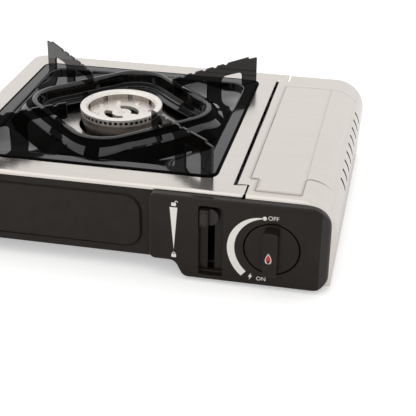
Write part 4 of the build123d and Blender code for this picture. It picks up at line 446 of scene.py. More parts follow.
plate_parts = [
    carry(plate_edge, lip_section, share=lip_share),
    flat_field([moved(plate_edge, -3 * lip_share), moved(well_edge, 2.6)], PLATE_TOP),
    carry(well_edge, well_section),
    flat_field([moved(well_edge, -3), well_hole], WELL_FLOOR),
]
make_piece("top_plate_sheet", plate_parts, "case", stainless, ["top_plate"], 1.0, (*BURNER, 0))

# %% [markdown]
# ## The drip pan
# The pan lifts out to be washed. It is pressed from thin steel and enamelled: a flat flange lies on the
# plate and a shallow tub hangs in the well. Its floor climbs to a round ridge that shields the flame and
# runs round the burner as a square that stands on its corner. Four ribs stiffen the climb, and inside
# the ridge two ledges step down to the hole. The climb, but not its ribs, carries painted shade. The flange,
# the tub and the ridge have different corners, so tub and ridge are given as distances from the burner's
# axis in the same directions, and all their rings make one grid.

# %% Pan helpers
def rings(*bands):
    """Joins bands of (outline, profile) with equal point counts into one grid of closed rings."""
    loops = [np.column_stack([moved(outline, offset), np.full(len(outline[0]), height)])
             for outline, profile in bands for offset, height in profile]
    return grid(np.stack(loops), wrap=True)


def filled(outline, count):
    """Adds count even points on each straight run of a rounded rectangle, between the end of one
    corner's arc and the start of the next; the normal there is the arc's last one."""
    path, normal = (np.asarray(part).reshape(4, -1, 2) for part in outline)
    t = np.linspace(0, 1, count + 2)[1:-1, None]
    run = path[:, -1:] + t * (np.roll(path[:, :1], -1, axis=0) - path[:, -1:])
    facing = np.repeat(normal[:, -1:], count, axis=1)
    joined = np.concatenate([path, run], axis=1), np.concatenate([normal, facing], axis=1)
    return joined[0].reshape(-1, 2), joined[1].reshape(-1, 2)


def ramp(values, at, width):
    """Smooth step from 0 to 1, centred on at: t t (3 - 2 t), where t goes from 0 to 1 across the width."""
    t = np.clip((values - at) / width + 0.5, 0, 1)
    return t * t * (3 - 2 * t)


def ridge_reach(way, side=65.0, corner=31.0):
    """How far the ridge lies from the burner's axis along a direction: on a side, which runs across a
    diagonal, side times root 2 over the sum of the direction's parts, and near a corner the far end of a
    chord of its arc."""
    most, least = np.abs(way).max(axis=1), np.abs(way).min(axis=1)
    middle = (side - corner) * np.sqrt(2)
    arc = middle * most + np.sqrt(np.maximum(corner ** 2 - (middle * least) ** 2, 0))
    on_arc = least / most < corner / (np.sqrt(2) * middle + corner)
    return np.where(on_arc, arc, side * np.sqrt(2) / (most + least))


print("ridge's reach along X:", ridge_reach(np.array([[1.0, 0.0]])).round(1), "mm")

# %% [markdown]
# The rings start at the tub's wall, go down the floor to the foot of the climb, up the climb and its
# ribs, over the ridge and down its inner side. Each rib ends a few degrees before the next one starts,
# so its height fades near the four axes.

# %% Pan rings
FLANGE_TOP, PAN_FLOOR = 79.0, 73.2
FLANGE_HALF, FLANGE_CORNER = 109.0, 10.0  # half of its width, and its corners' radius
TUB_HALF, TUB_CORNER = 96.0, 13.0
# the flange's border is painted shade, black enamel without reflection
SHADED_BORDER, RIDGE_ROUND = 2.6, 2.5  # width of the flange's dull border, and half that of the ridge's round top
RIB_HEIGHT, RIB_INSIDE, RIB_OUTSIDE = 1.3, 8.4, 13.6  # the last two are distances outside the ridge
RIB_GAP = 3.6  # degrees to each side of an axis
CLIMB_END, CLIMB_TOP = 4.2, 87.0  # distance outside the ridge, and height
flange_edge = filled(rectangle(BURNER - FLANGE_HALF, BURNER + FLANGE_HALF, FLANGE_CORNER, steps=10), 60)
tub_edge = filled(rectangle(BURNER - TUB_HALF, BURNER + TUB_HALF, TUB_CORNER, steps=10), 60)
from_axis = tub_edge[0] - BURNER
tub_reach, tub_bearing = np.linalg.norm(from_axis, axis=1), np.arctan2(from_axis[:, 1], from_axis[:, 0])
outward = from_axis / tub_reach[:, None]
tub_level = 77 - 2.8 * ramp(np.abs(from_axis).min(axis=1), 64, 40)
tub_wall = bend((3.5, FLANGE_TOP, 0), (0, FLANGE_TOP, 1.7), (0, 77.2, 0))
ridge = ridge_reach(outward)
foot = np.minimum(27.0, tub_reach - 1.5 - ridge)
foot_level = np.maximum(tub_level - 0.35 * (tub_reach - foot - ridge), PAN_FLOOR)
off_axis = np.degrees(np.arctan(np.abs(outward).min(axis=1) / np.abs(outward).max(axis=1)))


def pan_ring(reach, height):
    """Closed ring of the pan: the points that lie reach from the burner's axis in the tub's directions."""
    return np.column_stack([BURNER + reach[:, None] * outward, np.broadcast_to(height, reach.shape)])


def climb(off):
    """Ring at a distance off outside the ridge: its height runs in a straight line from the foot's level
    to the climb's top, and a rib adds its own height, which fades at the axes."""
    on_rib = RIB_HEIGHT * ramp(off_axis, RIB_GAP, 1.4) * ((off > RIB_INSIDE) & (off < RIB_OUTSIDE))
    share = (foot - off) / (foot - CLIMB_END)
    return pan_ring(ridge + off, foot_level + share * (CLIMB_TOP - foot_level) + on_rib)


pan_rings = [pan_ring(tub_reach, tub_wall[-1, 1])]
pan_rings += [pan_ring(tub_reach + t * (ridge + foot - tub_reach), tub_level + t * (foot_level - tub_level))
              for t in np.linspace(0, 1, 8)]
pan_rings += [climb(off) for off in np.linspace(foot, np.full(len(foot), 13.95), 8)[1:]]
pan_rings += [climb(off) for off in (13.9, 13.3, 12.4, 11.0, 9.6, 8.7, 8.1, 7.0, 5.6, CLIMB_END)]
round_top = [(3.6, 88.3), (2.7, 89.3), (1.5, 89.9), (0, 90.1), (-1.4, 89.9), (-2.2, 89.2), (-2.8, 87.8)]
first_ledge = [(-3.3, 84), (-3.6, 80.2), (-4.0, 79.4), (-4.8, 79.0), (-10.2, 78.4)]
second_ledge = [(-10.8, 78.0), (-11.2, 76.6), (-12.0, 76.2), (-15.5, 75.8), (-16.2, 75.4), (-16.5, 74.2)]
over_ridge = round_top + first_ledge + second_ledge
pan_rings += [pan_ring(ridge + off, height) for off, height in over_ridge]
print("pan rings", len(pan_rings), "of", len(ridge), "points; highest", max(h for _, h in over_ridge), "mm")

# %% Drip pan
flange_section = bend((0, 78, 0), (0, FLANGE_TOP, 0.8), (-SHADED_BORDER, FLANGE_TOP, 0), (-8, FLANGE_TOP, 0))
pan_parts = [rings((flange_edge, flange_section), (tub_edge, tub_wall)), grid(np.stack(pan_rings), wrap=True)]
pan = make_piece("drip_pan_pressing", pan_parts, "pan", enamel, ["drip_pan"], 1.0,
                 (*BURNER, 0))


def pan_painted_shade(points):
    """Faces of the pan that get painted shade, enamel without gloss: the flange's border, and the climb up
    to the ridge's round top without its ribs. The limits lie on rings or just beside them, so that the
    gloss ends along a ring."""
    way = points[:, :2] - BURNER
    size, radius = np.abs(way), np.linalg.norm(way, axis=1)
    past_corner = np.maximum(size - (FLANGE_HALF - FLANGE_CORNER), 0)
    border = np.linalg.norm(past_corner, axis=1) > FLANGE_CORNER - SHADED_BORDER
    off = radius - ridge_reach(way / radius[:, None])
    reach = np.interp(np.arctan2(way[:, 1], way[:, 0]), tub_bearing, foot, period=2 * np.pi)
    past_gap = size.min(axis=1) > np.tan(np.radians(RIB_GAP)) * size.max(axis=1)
    on_rib = (off > RIB_INSIDE - 0.2) & (off < RIB_OUTSIDE + 0.2) & past_gap
    in_tub = size.max(axis=1) < TUB_HALF - 0.1
    return border | (off > RIDGE_ROUND) & (off < reach) & ~on_rib & in_tub


# painted shade: these faces of the pan lose their reflection and render black
second_finish(pan, shade_enamel, pan_painted_shade)

# %% [markdown]
# ## The pan supports
# Four enamelled plates stand on the pan's diagonals and carry the cooking pot. Their top edges have
# small notches that stop a pot from sliding, and two arches let air in to the burner. Each is one
# outline in its own upright plane: the edge is a narrow round band carried along the outline, and two
# flat fields close the sides.

# %% Pan supports
def crest(r):
    """Height of a support's top edge, r from the burner's axis: it rises by 4.5 mm over 85 mm."""
    return 101 + (r - 54) * 4.5 / 85


notches = [point for r in (65, 77, 89, 101, 113)
           for point in ((r - 2.6, crest(r - 2.6), 0.6), (r - 1.2, crest(r) - 1.5, 1.1),
                         (r + 1.2, crest(r) - 1.5, 1.1), (r + 2.6, crest(r + 2.6), 0.6))]
clockwise = [(54, 86, 0.8), (54, 101, 0.8), *notches, (139, 105.5, 0.7), (139, 103.5, 0.6),
             (148.5, 103.5, 0.8), (148.5, 79, 0.6), (132, 79, 0.6), (132, 92, 5), (108, 92, 5), (108, 73, 0.6),
             (92, 73, 0.6), (92, 92, 5), (62, 92, 5), (62, 86, 0.8)]
fin_edge = rounded_path(clockwise[::-1])
fin_band = bend((-0.5, -1, 0), (0, -1, 0.49), (0, 1, 0.49), (-0.5, 1, 0), steps=5)
fin_side = [moved(fin_edge, -0.5)]
for place, angle in {"rear_right": 45, "rear_left": 135, "front_left": 225, "front_right": 315}.items():
    east, north = np.cos(np.radians(angle)), np.sin(np.radians(angle))
    upright = np.array([[east, north, 0], [0, 0, 1], [north, -east, 0]])
    fin_parts = [carry(fin_edge, fin_band, upright), *[flat_field(fin_side, at, upright) for at in (-1, 1)]]
    fin_parts = [(points + [*BURNER, 0], faces) for points, faces in fin_parts]
    make_piece("support_" + place, fin_parts, "pan", enamel, ["pan_fin_" + place])

# %% [markdown]
# ## The lid over the cartridge bay
# The lid is a sheet folded over a round shoulder: one section, seen from the front, runs along the
# stove, and at both ends the sheet is turned down again. So the section is the path, and the turned
# edges are the profile carried along it. The grid has more lines where a step is pressed into the sheet,
# and lines along the sides of the nine air slots in the shoulder.

# %% Lid section
SHOULDER, SHOULDER_RADIUS = np.array([140.0, 50.0]), 28.0  # middle of the shoulder's arc in X and Z
LID_TOP = SHOULDER[1] + SHOULDER_RADIUS
LIP, LIP_RADIUS = np.array([87.3, 76.7]), 1.3  # middle of the rolled left edge
SLOT_LOW, SLOT_HIGH, SLOT_HALF = 54.6, 65.6, 1.8
TAB_FRONT, TAB_REAR = -105.5, 123.5  # the corners beyond these lines are cut out for the plate's tabs
FIELD_LEFT, FIELD_NARROW, FIELD_LINE, FIELD_RIGHT = 95.0, 101.7, 138.6, 163.0  # along the section
FIELD_FRONT, FIELD_NECK, FIELD_CORNER, FIELD_REAR = -115.0, -94.0, -86.0, 110.5  # along Y
STEP_WIDTH = 0.8
step = STEP_WIDTH * np.linspace(-0.5, 0.5, 6)
top_x = np.concatenate([[LIP[0], 89, 92], FIELD_LEFT + step, [96, 98.5], FIELD_NARROW + step,
                        np.linspace(105, 136, 9), FIELD_LINE + step, [139.5]])
lip_turn = np.radians(np.linspace(180, 100, 7))
lip_way = np.column_stack([np.cos(lip_turn), np.sin(lip_turn)])
arc_turn = np.radians(np.concatenate([np.linspace(0, 9, 10), np.linspace(11, 53, 22), np.linspace(57, 78, 9),
                                      np.linspace(82, 90, 4)]))
slot_turn = np.arccos((np.array([SLOT_HIGH, SLOT_LOW]) - SHOULDER[1]) / SHOULDER_RADIUS)
arc_turn = np.sort(np.append(arc_turn, slot_turn))
arc_way = np.column_stack([np.sin(arc_turn), np.cos(arc_turn)])
side_z = np.linspace(48, 4.5, 12)
lid_path = np.concatenate([LIP + LIP_RADIUS * lip_way, np.column_stack([top_x, np.full(len(top_x), LID_TOP)]),
                           SHOULDER + SHOULDER_RADIUS * arc_way,
                           np.column_stack([165.5 + 2.5 * (side_z - 4.5) / 45.5, side_z])])
lid_normal = np.concatenate([lip_way, np.tile([0.0, 1.0], (len(top_x), 1)), arc_way,
                             np.tile([0.9985, -0.0549], (len(side_z), 1))])
run = np.concatenate([[0], np.cumsum(np.linalg.norm(np.diff(lid_path, axis=0), axis=1))])
run += top_x[0] - run[len(lip_turn)]
print("lid section of", len(lid_path), "points,", round(float(run[-1] - run[0]), 1), "mm of sheet")

# %% [markdown]
# A field in the lid's top is pressed half a millimetre higher. It is narrower at the front, its front
# right corner is cut off, and a faint groove runs where the shoulder starts. All of this is a height
# added along the sheet's normal, as a product of smooth steps over the distance U along the section and
# the place V along the stove.

# %% Lid
slot_y = -52 + 17.75 * np.arange(9)
field_y = np.add.outer([FIELD_FRONT, FIELD_NECK, FIELD_CORNER, FIELD_REAR], step).ravel()
long_y = np.concatenate([np.linspace(-119.8, 137.8, 60), field_y, np.linspace(-91, -87, 9),
                         slot_y - SLOT_HALF, slot_y + SLOT_HALF, [TAB_FRONT, TAB_REAR]])
long_y = np.unique(np.round(long_y, 3))
ends = bend((-5, 0, 0), (0, 0, 3.6), (0, 10, 0), steps=9)[:-1]
inset = np.concatenate([ends[:, 0], np.zeros(len(long_y)), ends[::-1, 0]])
U, V = np.meshgrid(run, np.concatenate([-124 + ends[:, 1], long_y, 142 - ends[::-1, 1]]))


def in_corner(a, b, radius=4.0):
    """Depth inside the corner where a and b are both above 0: the smaller of the two, and near its
    point, which is rounded off, the radius less the distance from the middle of that arc."""
    arc = radius - np.hypot(np.maximum(radius - a, 0), np.maximum(radius - b, 0))
    return np.where((a < radius) & (b < radius), arc, np.minimum(a, b))


def near(distance):
    """1 on a line and less beside it: e to the minus square of the distance over 0.4 mm."""
    return np.exp(-(distance / 0.4) ** 2)


left_edge = FIELD_LEFT + (FIELD_NARROW - FIELD_LEFT) * (1 - ramp(V, FIELD_NECK, STEP_WIDTH))
field = ramp(U, left_edge, STEP_WIDTH) * (1 - ramp(U, FIELD_RIGHT, 8.0))
field *= ramp(V, FIELD_FRONT, STEP_WIDTH) * (1 - ramp(V, FIELD_REAR, STEP_WIDTH))
field *= 1 - ramp(in_corner(U - FIELD_LINE, FIELD_CORNER - V), 0, STEP_WIDTH)
groove = near(U - FIELD_LINE) * ramp(V, -84, 6) * (1 - ramp(V, 108, 4))
lift = inset[:, None] + 0.5 * field - 0.12 * groove
section = lid_path + lift[..., None] * lid_normal
lid_points, lid_faces = grid(np.stack([section[..., 0], V, section[..., 1]], -1))
mid_x, mid_y, mid_z = lid_points[lid_faces].mean(axis=1).T
at_tabs = (mid_x < 96) & (mid_z > 69) & ((mid_y < TAB_FRONT) | (mid_y > TAB_REAR))
at_slots = np.abs(mid_y[:, None] - slot_y).min(axis=1) < SLOT_HALF - 0.01
at_slots &= (mid_z < SLOT_HIGH) & (mid_z > SLOT_LOW) & (mid_x > SHOULDER[0])
lid_parts = [(lid_points, lid_faces[~(at_tabs | at_slots)])]
lid = make_piece("lid_sheet", lid_parts, "lid", stainless, ["lid"], 1.0, (110, 9, 30))

# %% [markdown]
# A pressed edge shows as a dark line, and that line is painted shade: the lid carries it as an attribute
# of its own, which the finish reads to darken its colour: 1 at the points on an edge, and fading within
# half a millimetre, where the grid's lines lie close together.

# %% Painted shade along the lid's field
spots = np.empty(3 * len(lid.data.vertices))
lid.data.vertices.foreach_get("co", spots)
x, y, z = spots.reshape(-1, 3).T / MM
arc_length = SHOULDER_RADIUS * np.arctan2(x - SHOULDER[0], z - SHOULDER[1])
u = np.where(x < SHOULDER[0], x, SHOULDER[0] + arc_length)
left_line = np.where(y < FIELD_NECK, FIELD_NARROW, FIELD_LEFT)
corner_depth = in_corner(u - FIELD_LINE, FIELD_CORNER - y)
field_edge_shades = [
    near(u - left_line) * (y > FIELD_FRONT) * (y < FIELD_REAR),  # left edge
    0.35 * near(u - FIELD_LINE) * (y > FIELD_CORNER) * (y < FIELD_REAR),  # groove before the shoulder
    near(corner_depth) * (y > FIELD_FRONT) * (1 - ramp(u, 154, 18)),  # corner that is cut off
    near(y - FIELD_NECK) * (u > FIELD_LEFT) * (u < FIELD_NARROW),  # step to the narrow front
    near(y - FIELD_FRONT) * (u > FIELD_NARROW) * (u < FIELD_LINE),  # front edge
    near(y - FIELD_REAR) * (u > FIELD_LEFT) * (u < 165),  # rear edge
]
on_outside = z > 30  # the lower side is plain
# painted shade: the strongest of these lines darkens the lid's colour along its pressed edges
lid_edge_shade = np.max(field_edge_shades, axis=0) * on_outside
lid.data.attributes.new("edge_shade", "FLOAT", "POINT").data.foreach_set("value", lid_edge_shade)
print("pressed line on", int((lid_edge_shade > 0.5).sum()), "of", len(lid_edge_shade), "points of the lid")

# %% [markdown]
# Two small ears under the lid's left edge hold it on the hinge rod. Each is a strap with a round eye:
# its outline and the eye's circle are one flat field on each side, and a band round each edge joins the
# two.

# %% Hinge ears
def thick_plate(outline, low, high, view, holes=(), edge=0.3):
    """Plate between two heights: a band with slightly broken edges round the outline, plain bands in the
    holes and a flat field on each side."""
    band = bend((-edge, low, 0), (0, low, edge * 0.99), (0, high, edge * 0.99), (-edge, high, 0), steps=4)
    loops = [moved(outline, -edge), *[hole[0] for hole in holes]]
    return [carry(outline, band, view), flat_field(loops, low, view), flat_field(loops, high, view),
            *[carry(hole, [(0, low), (0, high)], view) for hole in holes]]


HINGE, EYE_RADIUS, EAR_THICKNESS = (89.5, 74.8), 1.7, 1.5
ear_edge = rounded_path([(86.3, 71.6, 3.15), (92.7, 71.6, 3.15), (92.7, 77.3, 0.3), (86.3, 77.3, 0.3)])
ear_eye = circle(EYE_RADIUS, 28, HINGE)
ear_parts = [part for front in (-103.5, 120.0)
             for part in thick_plate(ear_edge, -front - EAR_THICKNESS, -front, FRONT, [ear_eye])]
make_piece("lid_hinge_ears", ear_parts, "lid", stainless)

# %% [markdown]
# ## The case
# The burner's half stands in a folded black case. Its walls are one section carried round the outline,
# with a round bend to the floor. A rounded field is pressed out of the front wall to stiffen it, with a
# narrow groove round it that stays dark: a flat field with a hole, a band with the groove and a second
# flat field.

# %% Case
CASE_FRONT, FIELD_FACE, CASE_FLOOR = 122.8, 124.0, 13.6  # two distances in front of the middle, and a height
WALL_LOW, WALL_HIGH = 15.6, 77.0
case_turns = [(81.7, 140.8, 0.0), (-166.8, 140.8, 12), (-166.8, -CASE_FRONT, 12)]
wall_line = rounded_path([*case_turns, (-150, -CASE_FRONT, 0)], closed=False, steps=10)
floor_line = rounded_path([*case_turns, (81.7, -CASE_FRONT, 0)], closed=False, steps=10)
field_edge = rectangle((-147.8, 20.6), (13, 68), 15, steps=10)
front_wall = np.array([(-150, WALL_LOW), (26, WALL_LOW), (26, WALL_HIGH), (-150, WALL_HIGH)])
field_band = bend((0.8, CASE_FRONT, 0), (0.3, CASE_FRONT, 0.3), (-0.5, 121.6, 0.4), (-1.9, FIELD_FACE, 0.9),
                  (-4, FIELD_FACE, 0))
case_parts = [
    carry(wall_line, [(0, WALL_LOW), (0, WALL_HIGH)], wrap=False),
    carry(floor_line, bend((0, WALL_LOW, 0), (0, CASE_FLOOR, 1.9), (-4, CASE_FLOOR, 0)), wrap=False),
    flat_field([moved(floor_line, -4)], CASE_FLOOR),
    flat_field([front_wall, moved(field_edge, 0.8)], CASE_FRONT, FRONT),
    carry(field_edge, field_band, FRONT),
    flat_field([moved(field_edge, -4)], FIELD_FACE, FRONT),
]
make_piece("case_folding", case_parts, "case", satin_paint, ["burner_case"], 1.0, (-40, 9, 45))

# %% [markdown]
# ## The control panel
# The panel is one polished moulding: a face with a rounded rim, a sloping strip on its right, a round
# cup that the knob sits in and a long cup for the lever, with a slot. Below the case, a skirt closes it
# behind. Every edge is a bend carried round an outline in the front view, and the face is the flat field
# between them, which a height function slopes at the right. Its sloping strip is left satin.

# %% Control panel
PANEL_FACE, KNOB_CUP_FLOOR, LEVER_CUP_FLOOR = 132.0, 123.0, 125.0  # distances in front of the stove's middle
STRIP_START = 156.7
KNOB = np.array([119.0, 37.0])  # the knob's axis, seen from the front
panel_edge = rounded_path([(20.3, 17, 5), (41, 17, 7), (48, 3, 7), (163.7, 3, 12), (163.7, 75.3, 16.5),
                           (20.3, 75.3, 5)], steps=12)
about_knob = circle(1.0, 128, KNOB)  # an offset from it is a radius less 1 mm
lever_cup = rectangle((60.9, 7.2), (80.0, 68.8), 1.6, steps=6)
lever_slot = rectangle((67.0, 9.4), (72.6, 64.1), 0.8, steps=5)


def set_back(x):
    """How far the right strip falls back from the panel's face at x: 5 in 7 of the way from its start."""
    return np.maximum(x - STRIP_START, 0) * 5 / 7


panel_rim = bend((-3, 122.8, 0), (-3, 124.4, 0), (0, 124.4, 0.6), (0, PANEL_FACE, 2.2), (-2.8, PANEL_FACE, 0),
                 steps=8)
rim_points, rim_faces = carry(panel_edge, panel_rim, FRONT)
rim_points[:, 1] += set_back(rim_points[:, 0]) * np.clip((-rim_points[:, 1] - 124.6) / 6, 0, 1)
knob_cup_section = bend((22.6, PANEL_FACE, 0), (21.4, PANEL_FACE, 0.8), (21.4, KNOB_CUP_FLOOR, 1),
                        (2.8, KNOB_CUP_FLOOR, 0))
lever_cup_section = bend((1.1, PANEL_FACE, 0), (0, PANEL_FACE, 0.8), (0, LEVER_CUP_FLOOR, 0.8),
                         (-1.4, LEVER_CUP_FLOOR, 0))
panel_parts = [
    (rim_points, rim_faces),
    flat_field([moved(panel_edge, -2.8), moved(about_knob, 22.6), moved(lever_cup, 1.1)],
               lambda points: PANEL_FACE - set_back(points[:, 0]), FRONT,
               lines=[[(STRIP_START, -5), (STRIP_START, 80)]]),
    carry(about_knob, knob_cup_section, FRONT),
    carry(lever_cup, lever_cup_section, FRONT),
    flat_field([moved(lever_cup, -1.4), lever_slot[0]], LEVER_CUP_FLOOR, FRONT),
]
panel = make_piece("control_panel_moulding", panel_parts, "case", gloss_abs, ["control_panel"],
                   1.8, (100, 0, 40))
second_finish(panel, satin_abs, lambda points: (points[:, 0] > STRIP_START + 0.1) & (points[:, 1] < -123))

# %% Skirt below the case
skirt_line = bend((-123.6, 4.4, 0), (-112, 4.4, 2), (-112, 13.5, 0))
skirt = grid(np.stack([np.column_stack([np.full(len(skirt_line), x), skirt_line]) for x in (50.0, 81.5)]))
make_piece("panel_skirt", [skirt], "case", satin_abs, gauge=1.2, inside=(65, -125, 15))

# %% [markdown]
# ## The knob and the lock lever
# The knob is a disc that lies flush in its cup with a raised bar to grip. The disc is a section carried
# round a circle, and the bar is a rounded outline drawn in by a degree or two of draft, as a moulding
# needs. The lever is a thumb pad with a round end and a raised ridge, on a neck that passes through the
# slot to a slider inside.

# %% Knob
GRIP_TOP, KNOB_BACK = 141.9, 123.4


def block(outline, base, top, draft=0.0, edge=0.8, view=FRONT):
    """Moulded block: the outline at its base, drawn in by the draft on its way to the top, with a round
    upper edge and flat fields on both ends."""
    drawn_in = -draft - edge - 0.3
    sides = bend((0, base, 0), (-draft, top, edge), (drawn_in, top, 0))
    return [carry(outline, sides, view), flat_field([outline[0]], base, view),
            flat_field([moved(outline, drawn_in)], top, view)]


disc_section = bend((4.7, KNOB_BACK, 0), (4.7, 125, 0), (20.6, 125, 0.5), (20.6, PANEL_FACE, 1.0),
                    (2, PANEL_FACE, 0))
knob_parts = [
    carry(about_knob, disc_section, FRONT),
    flat_field([moved(about_knob, 2)], PANEL_FACE, FRONT),
    flat_field([moved(about_knob, 4.7)], KNOB_BACK, FRONT),
    *block(rectangle(KNOB - (6.1, 19.3), KNOB + (6.1, 19.3), 2.6), 131, GRIP_TOP, 0.5, 1.3),
]
make_piece("knob_moulding", knob_parts, "knob", gloss_abs, ["control_knob"])

# %% Lock lever
pad_edge = rounded_path([(61.5, 51, 0.8), (76.7, 51, 7.5), (76.7, 66.1, 7.5), (61.5, 66.1, 0.8)], steps=10)
thumb_ridge = rectangle((61.4, 51), (69.2, 66.1), 1.0)
neck = rectangle((67.8, 55.8), (72.2, 63.8), 0.5)
slider = rectangle((63.5, 55.8), (76.5, 69.8), 0.8)
lever_parts = [*block(pad_edge, 125.3, 129.8, 0.2, 0.9), *block(thumb_ridge, 129.0, 134.2, 0.5, 1.7),
               *block(neck, 122.0, 126.0, 0.0, 0.2), *block(slider, 102.0, 122.7, 0.0, 0.6)]
make_piece("lock_lever_moulding", lever_parts, "lever", satin_abs, ["lock_lever"])

# %% [markdown]
# ## The burner head
# The head is a shallow cast bowl with a broad pale rim. Flames come out of forty-eight slots under the
# rim and eight inside the bowl. Cutting them one by one would be slow, so the section is carried round
# the axis on a grid whose columns fall on the slots' sides, and the wall is pushed in by the slot's
# depth between those columns.

# %% Burner wall with its slots
HEAD_BOTTOM, BOWL_FLOOR, FLOOR_RADIUS, NECK_RADIUS = 76.5, 79.5, 27.0, 32.5
SLOTS, SLOT_PITCH = 48, 7.5  # the pitch in degrees


def dented(angle, pitch, width, height, low, high, depth):
    """How far a slot pushes the wall in: depth where the angle is within half a width of a multiple of
    the pitch and the height lies between low and high, else nothing."""
    off = np.abs((angle + pitch / 2) % pitch - pitch / 2)
    return depth * (off < width / 2) * (height > low) * (height < high)


slot_columns = np.array([-3.15, -3.05, -1.99, -1.89, 0, 1.89, 1.99, 3.05, 3.15])
head_turn = (SLOT_PITCH * np.arange(SLOTS)[:, None] + slot_columns).ravel()
around = np.stack([np.cos(np.radians(head_turn)), np.sin(np.radians(head_turn))], -1)
outer_wall = [(NECK_RADIUS, HEAD_BOTTOM), (NECK_RADIUS, 80.5), (35.4, 80.5), (35.4, 81.85), (35.4, 81.95),
              (35.4, 83.4), (35.4, 84.85), (35.4, 84.95)]
rim_section = bend((36.75, 84.95, 0.5), (36.75, 87.5, 1.1), (31.6, 87.5, 0.9), (30, 84.9, 0.3), (30, 84.8, 0))
inner_wall = [(30, 82.5), (30, 79.55), (30, BOWL_FLOOR), (FLOOR_RADIUS, BOWL_FLOOR)]
head_section = np.concatenate([outer_wall, rim_section, inner_wall])
row = np.arange(len(head_section))[:, None]
is_outer, is_inner = row < len(outer_wall), row >= len(head_section) - len(inner_wall) - 1
head_height = np.repeat(head_section[:, 1:], len(head_turn), axis=1)
under_rim = dented(head_turn, SLOT_PITCH, 3.88, head_height, 81.9, 84.9, depth=2.4)
in_bowl = dented(head_turn, 45, 8.8, head_height, 79.52, 84.85, depth=2.0)
head_radius = head_section[:, :1] - is_outer * under_rim + is_inner * in_bowl
head_wall = np.concatenate([head_radius[..., None] * around, head_height[..., None]], -1)
print("burner wall", head_wall.shape[:2], "points, thinnest radius", head_radius.min(), "mm")

# %% [markdown]
# Two kidney-shaped vents go through the bowl's floor, and a screw boss stands in its middle and on a
# ring of eight. The slots under the rim are painted nearly black, and the bowl's inner wall and the
# recesses in it are painted darker and made rougher: both are painted shade.

# %% Burner head
kidneys = []
for mid in np.radians([52, 232]):
    arc = mid + np.radians(np.linspace(-59, 59, 21))
    sweep = np.concatenate([np.column_stack([np.cos(arc), np.sin(arc)]) * 15.5,
                            np.column_stack([np.cos(arc[::-1]), np.sin(arc[::-1])]) * 8.5])
    kidneys.append(rounded_path(np.column_stack([sweep, np.full(len(sweep), 0.05)]), steps=2))
vents = [kidney[0] for kidney in kidneys]
head_parts = [grid(head_wall, wrap=True), flat_field([around * FLOOR_RADIUS, *vents], BOWL_FLOOR),
              flat_field([around * NECK_RADIUS, *vents], HEAD_BOTTOM),
              *[carry(kidney, [(0, HEAD_BOTTOM), (0, BOWL_FLOOR)]) for kidney in kidneys]]
boss_spots = [(0, 0)] + [(23.5 * np.cos(t), 23.5 * np.sin(t)) for t in np.radians(22.5 + 45 * np.arange(8))]
boss_section = bend((2.9, 79.45, 0), (2.4, 80.7, 0.35), (0.9, 80.7, 0.2), (0.9, 79.6, 0), (0.01, 79.6, 0),
                    steps=4)
head_parts += [carry(circle(0.0, 28, spot), boss_section) for spot in boss_spots]
head_parts = [(points + [*BURNER, 0], faces) for points, faces in head_parts]
head = make_piece("burner_head_casting", head_parts, "case", cast_bright, ["burner_head"])


def between(points, inner, outer, low, high):
    """Which points lie between two radii round the burner's axis and between two heights."""
    radius = np.linalg.norm(points[:, :2] - BURNER, axis=1)
    return (radius > inner) & (radius < outer) & (points[:, 2] > low) & (points[:, 2] < high)


# painted shade: the ports under the rim are painted nearly black
second_finish(head, port_shade, lambda points: between(points, 32.55, 35.2, 81.6, 85))
# painted shade: the bowl's inner wall is painted darker, and its recesses take the darker cast finish
second_finish(head, cast_wall_shade, lambda points: between(points, 29.5, 30.2, 79.6, 84.86))
second_finish(head, cast_raw_and_recess_shade, lambda points: between(points, 30.2, 32.5, 79.6, 84.86))

# %% [markdown]
# ## Printed marks
# White marks on the panel tell the cook which way to turn the knob and push the lever: a wedge for the
# lever, and a dot, a swelling crescent and a spark for the knob. They are ink about a tenth of a
# millimetre thick, so each is a flat field just proud of the face, with a gauge that sinks into it.

# %% Wedge, crescent and spark
INK, PROUD = 0.1, 0.06  # thickness of the ink, and how far it stands in front of the face
INSIDE_STOVE = (100, 50, 40)


def print_mark(name, fields, face, body, ink):
    """Flat printed mark: each field is a list of loops in the front view, laid just proud of the face."""
    parts = [flat_field([np.asarray(loop, float) for loop in loops], face + PROUD, FRONT) for loops in fields]
    return make_piece(name, parts, body, ink, gauge=INK, inside=INSIDE_STOVE)


wedge = [[(44.0, 65.4), (37.8, 65.4), (40.9, 27.8)]]
dot = [circle(1.7, 36, (112.7, 64.0))[0]]
swell = np.radians(np.linspace(104, 228, 60))
grow = 1 - (1 - np.clip(np.linspace(0, 1.42, 60), 0, 1)) ** 2
swell_way = np.column_stack([np.cos(swell), np.sin(swell)])
outer_line = KNOB + swell_way * (27.8 + 7.6 * grow)[:, None]
inner_line = KNOB + swell_way * (27.3 + 2.2 * grow)[:, None]
crescent = [np.concatenate([outer_line, inner_line[::-1]])]
zigzag = np.array([(0.6, 3.2), (-1.7, -0.5), (-0.3, -0.5), (-0.9, -3.2), (1.7, 0.8), (0.3, 0.8)])
bolt = [zigzag + (102.8, 10.9)]
print_mark("panel_marks", [wedge, dot, crescent, bolt], PANEL_FACE, "case", white_ink)

# %% Padlocks
def padlock(centre, opened):
    """Padlock pictogram: a body with round corners, and a shackle that is shifted aside when it is open."""
    body = rectangle((-1.9, -2.0), (1.9, 0.9), 0.4, steps=4)[0]
    t = np.radians(np.linspace(180, 0, 17))
    arch = np.column_stack([np.cos(t), np.sin(t)])
    end, shift = (1.4, (2.2, 0.0)) if opened else (0.95, (0.0, 0.0))
    shackle = np.concatenate([[(-1.3, 0.95)], arch * 1.3 + (0, 1.5), [(1.3, end), (0.75, end)],
                              arch[::-1] * 0.75 + (0, 1.5), [(-0.75, 0.95)]])
    return [[body + centre], [shackle + shift + centre]]


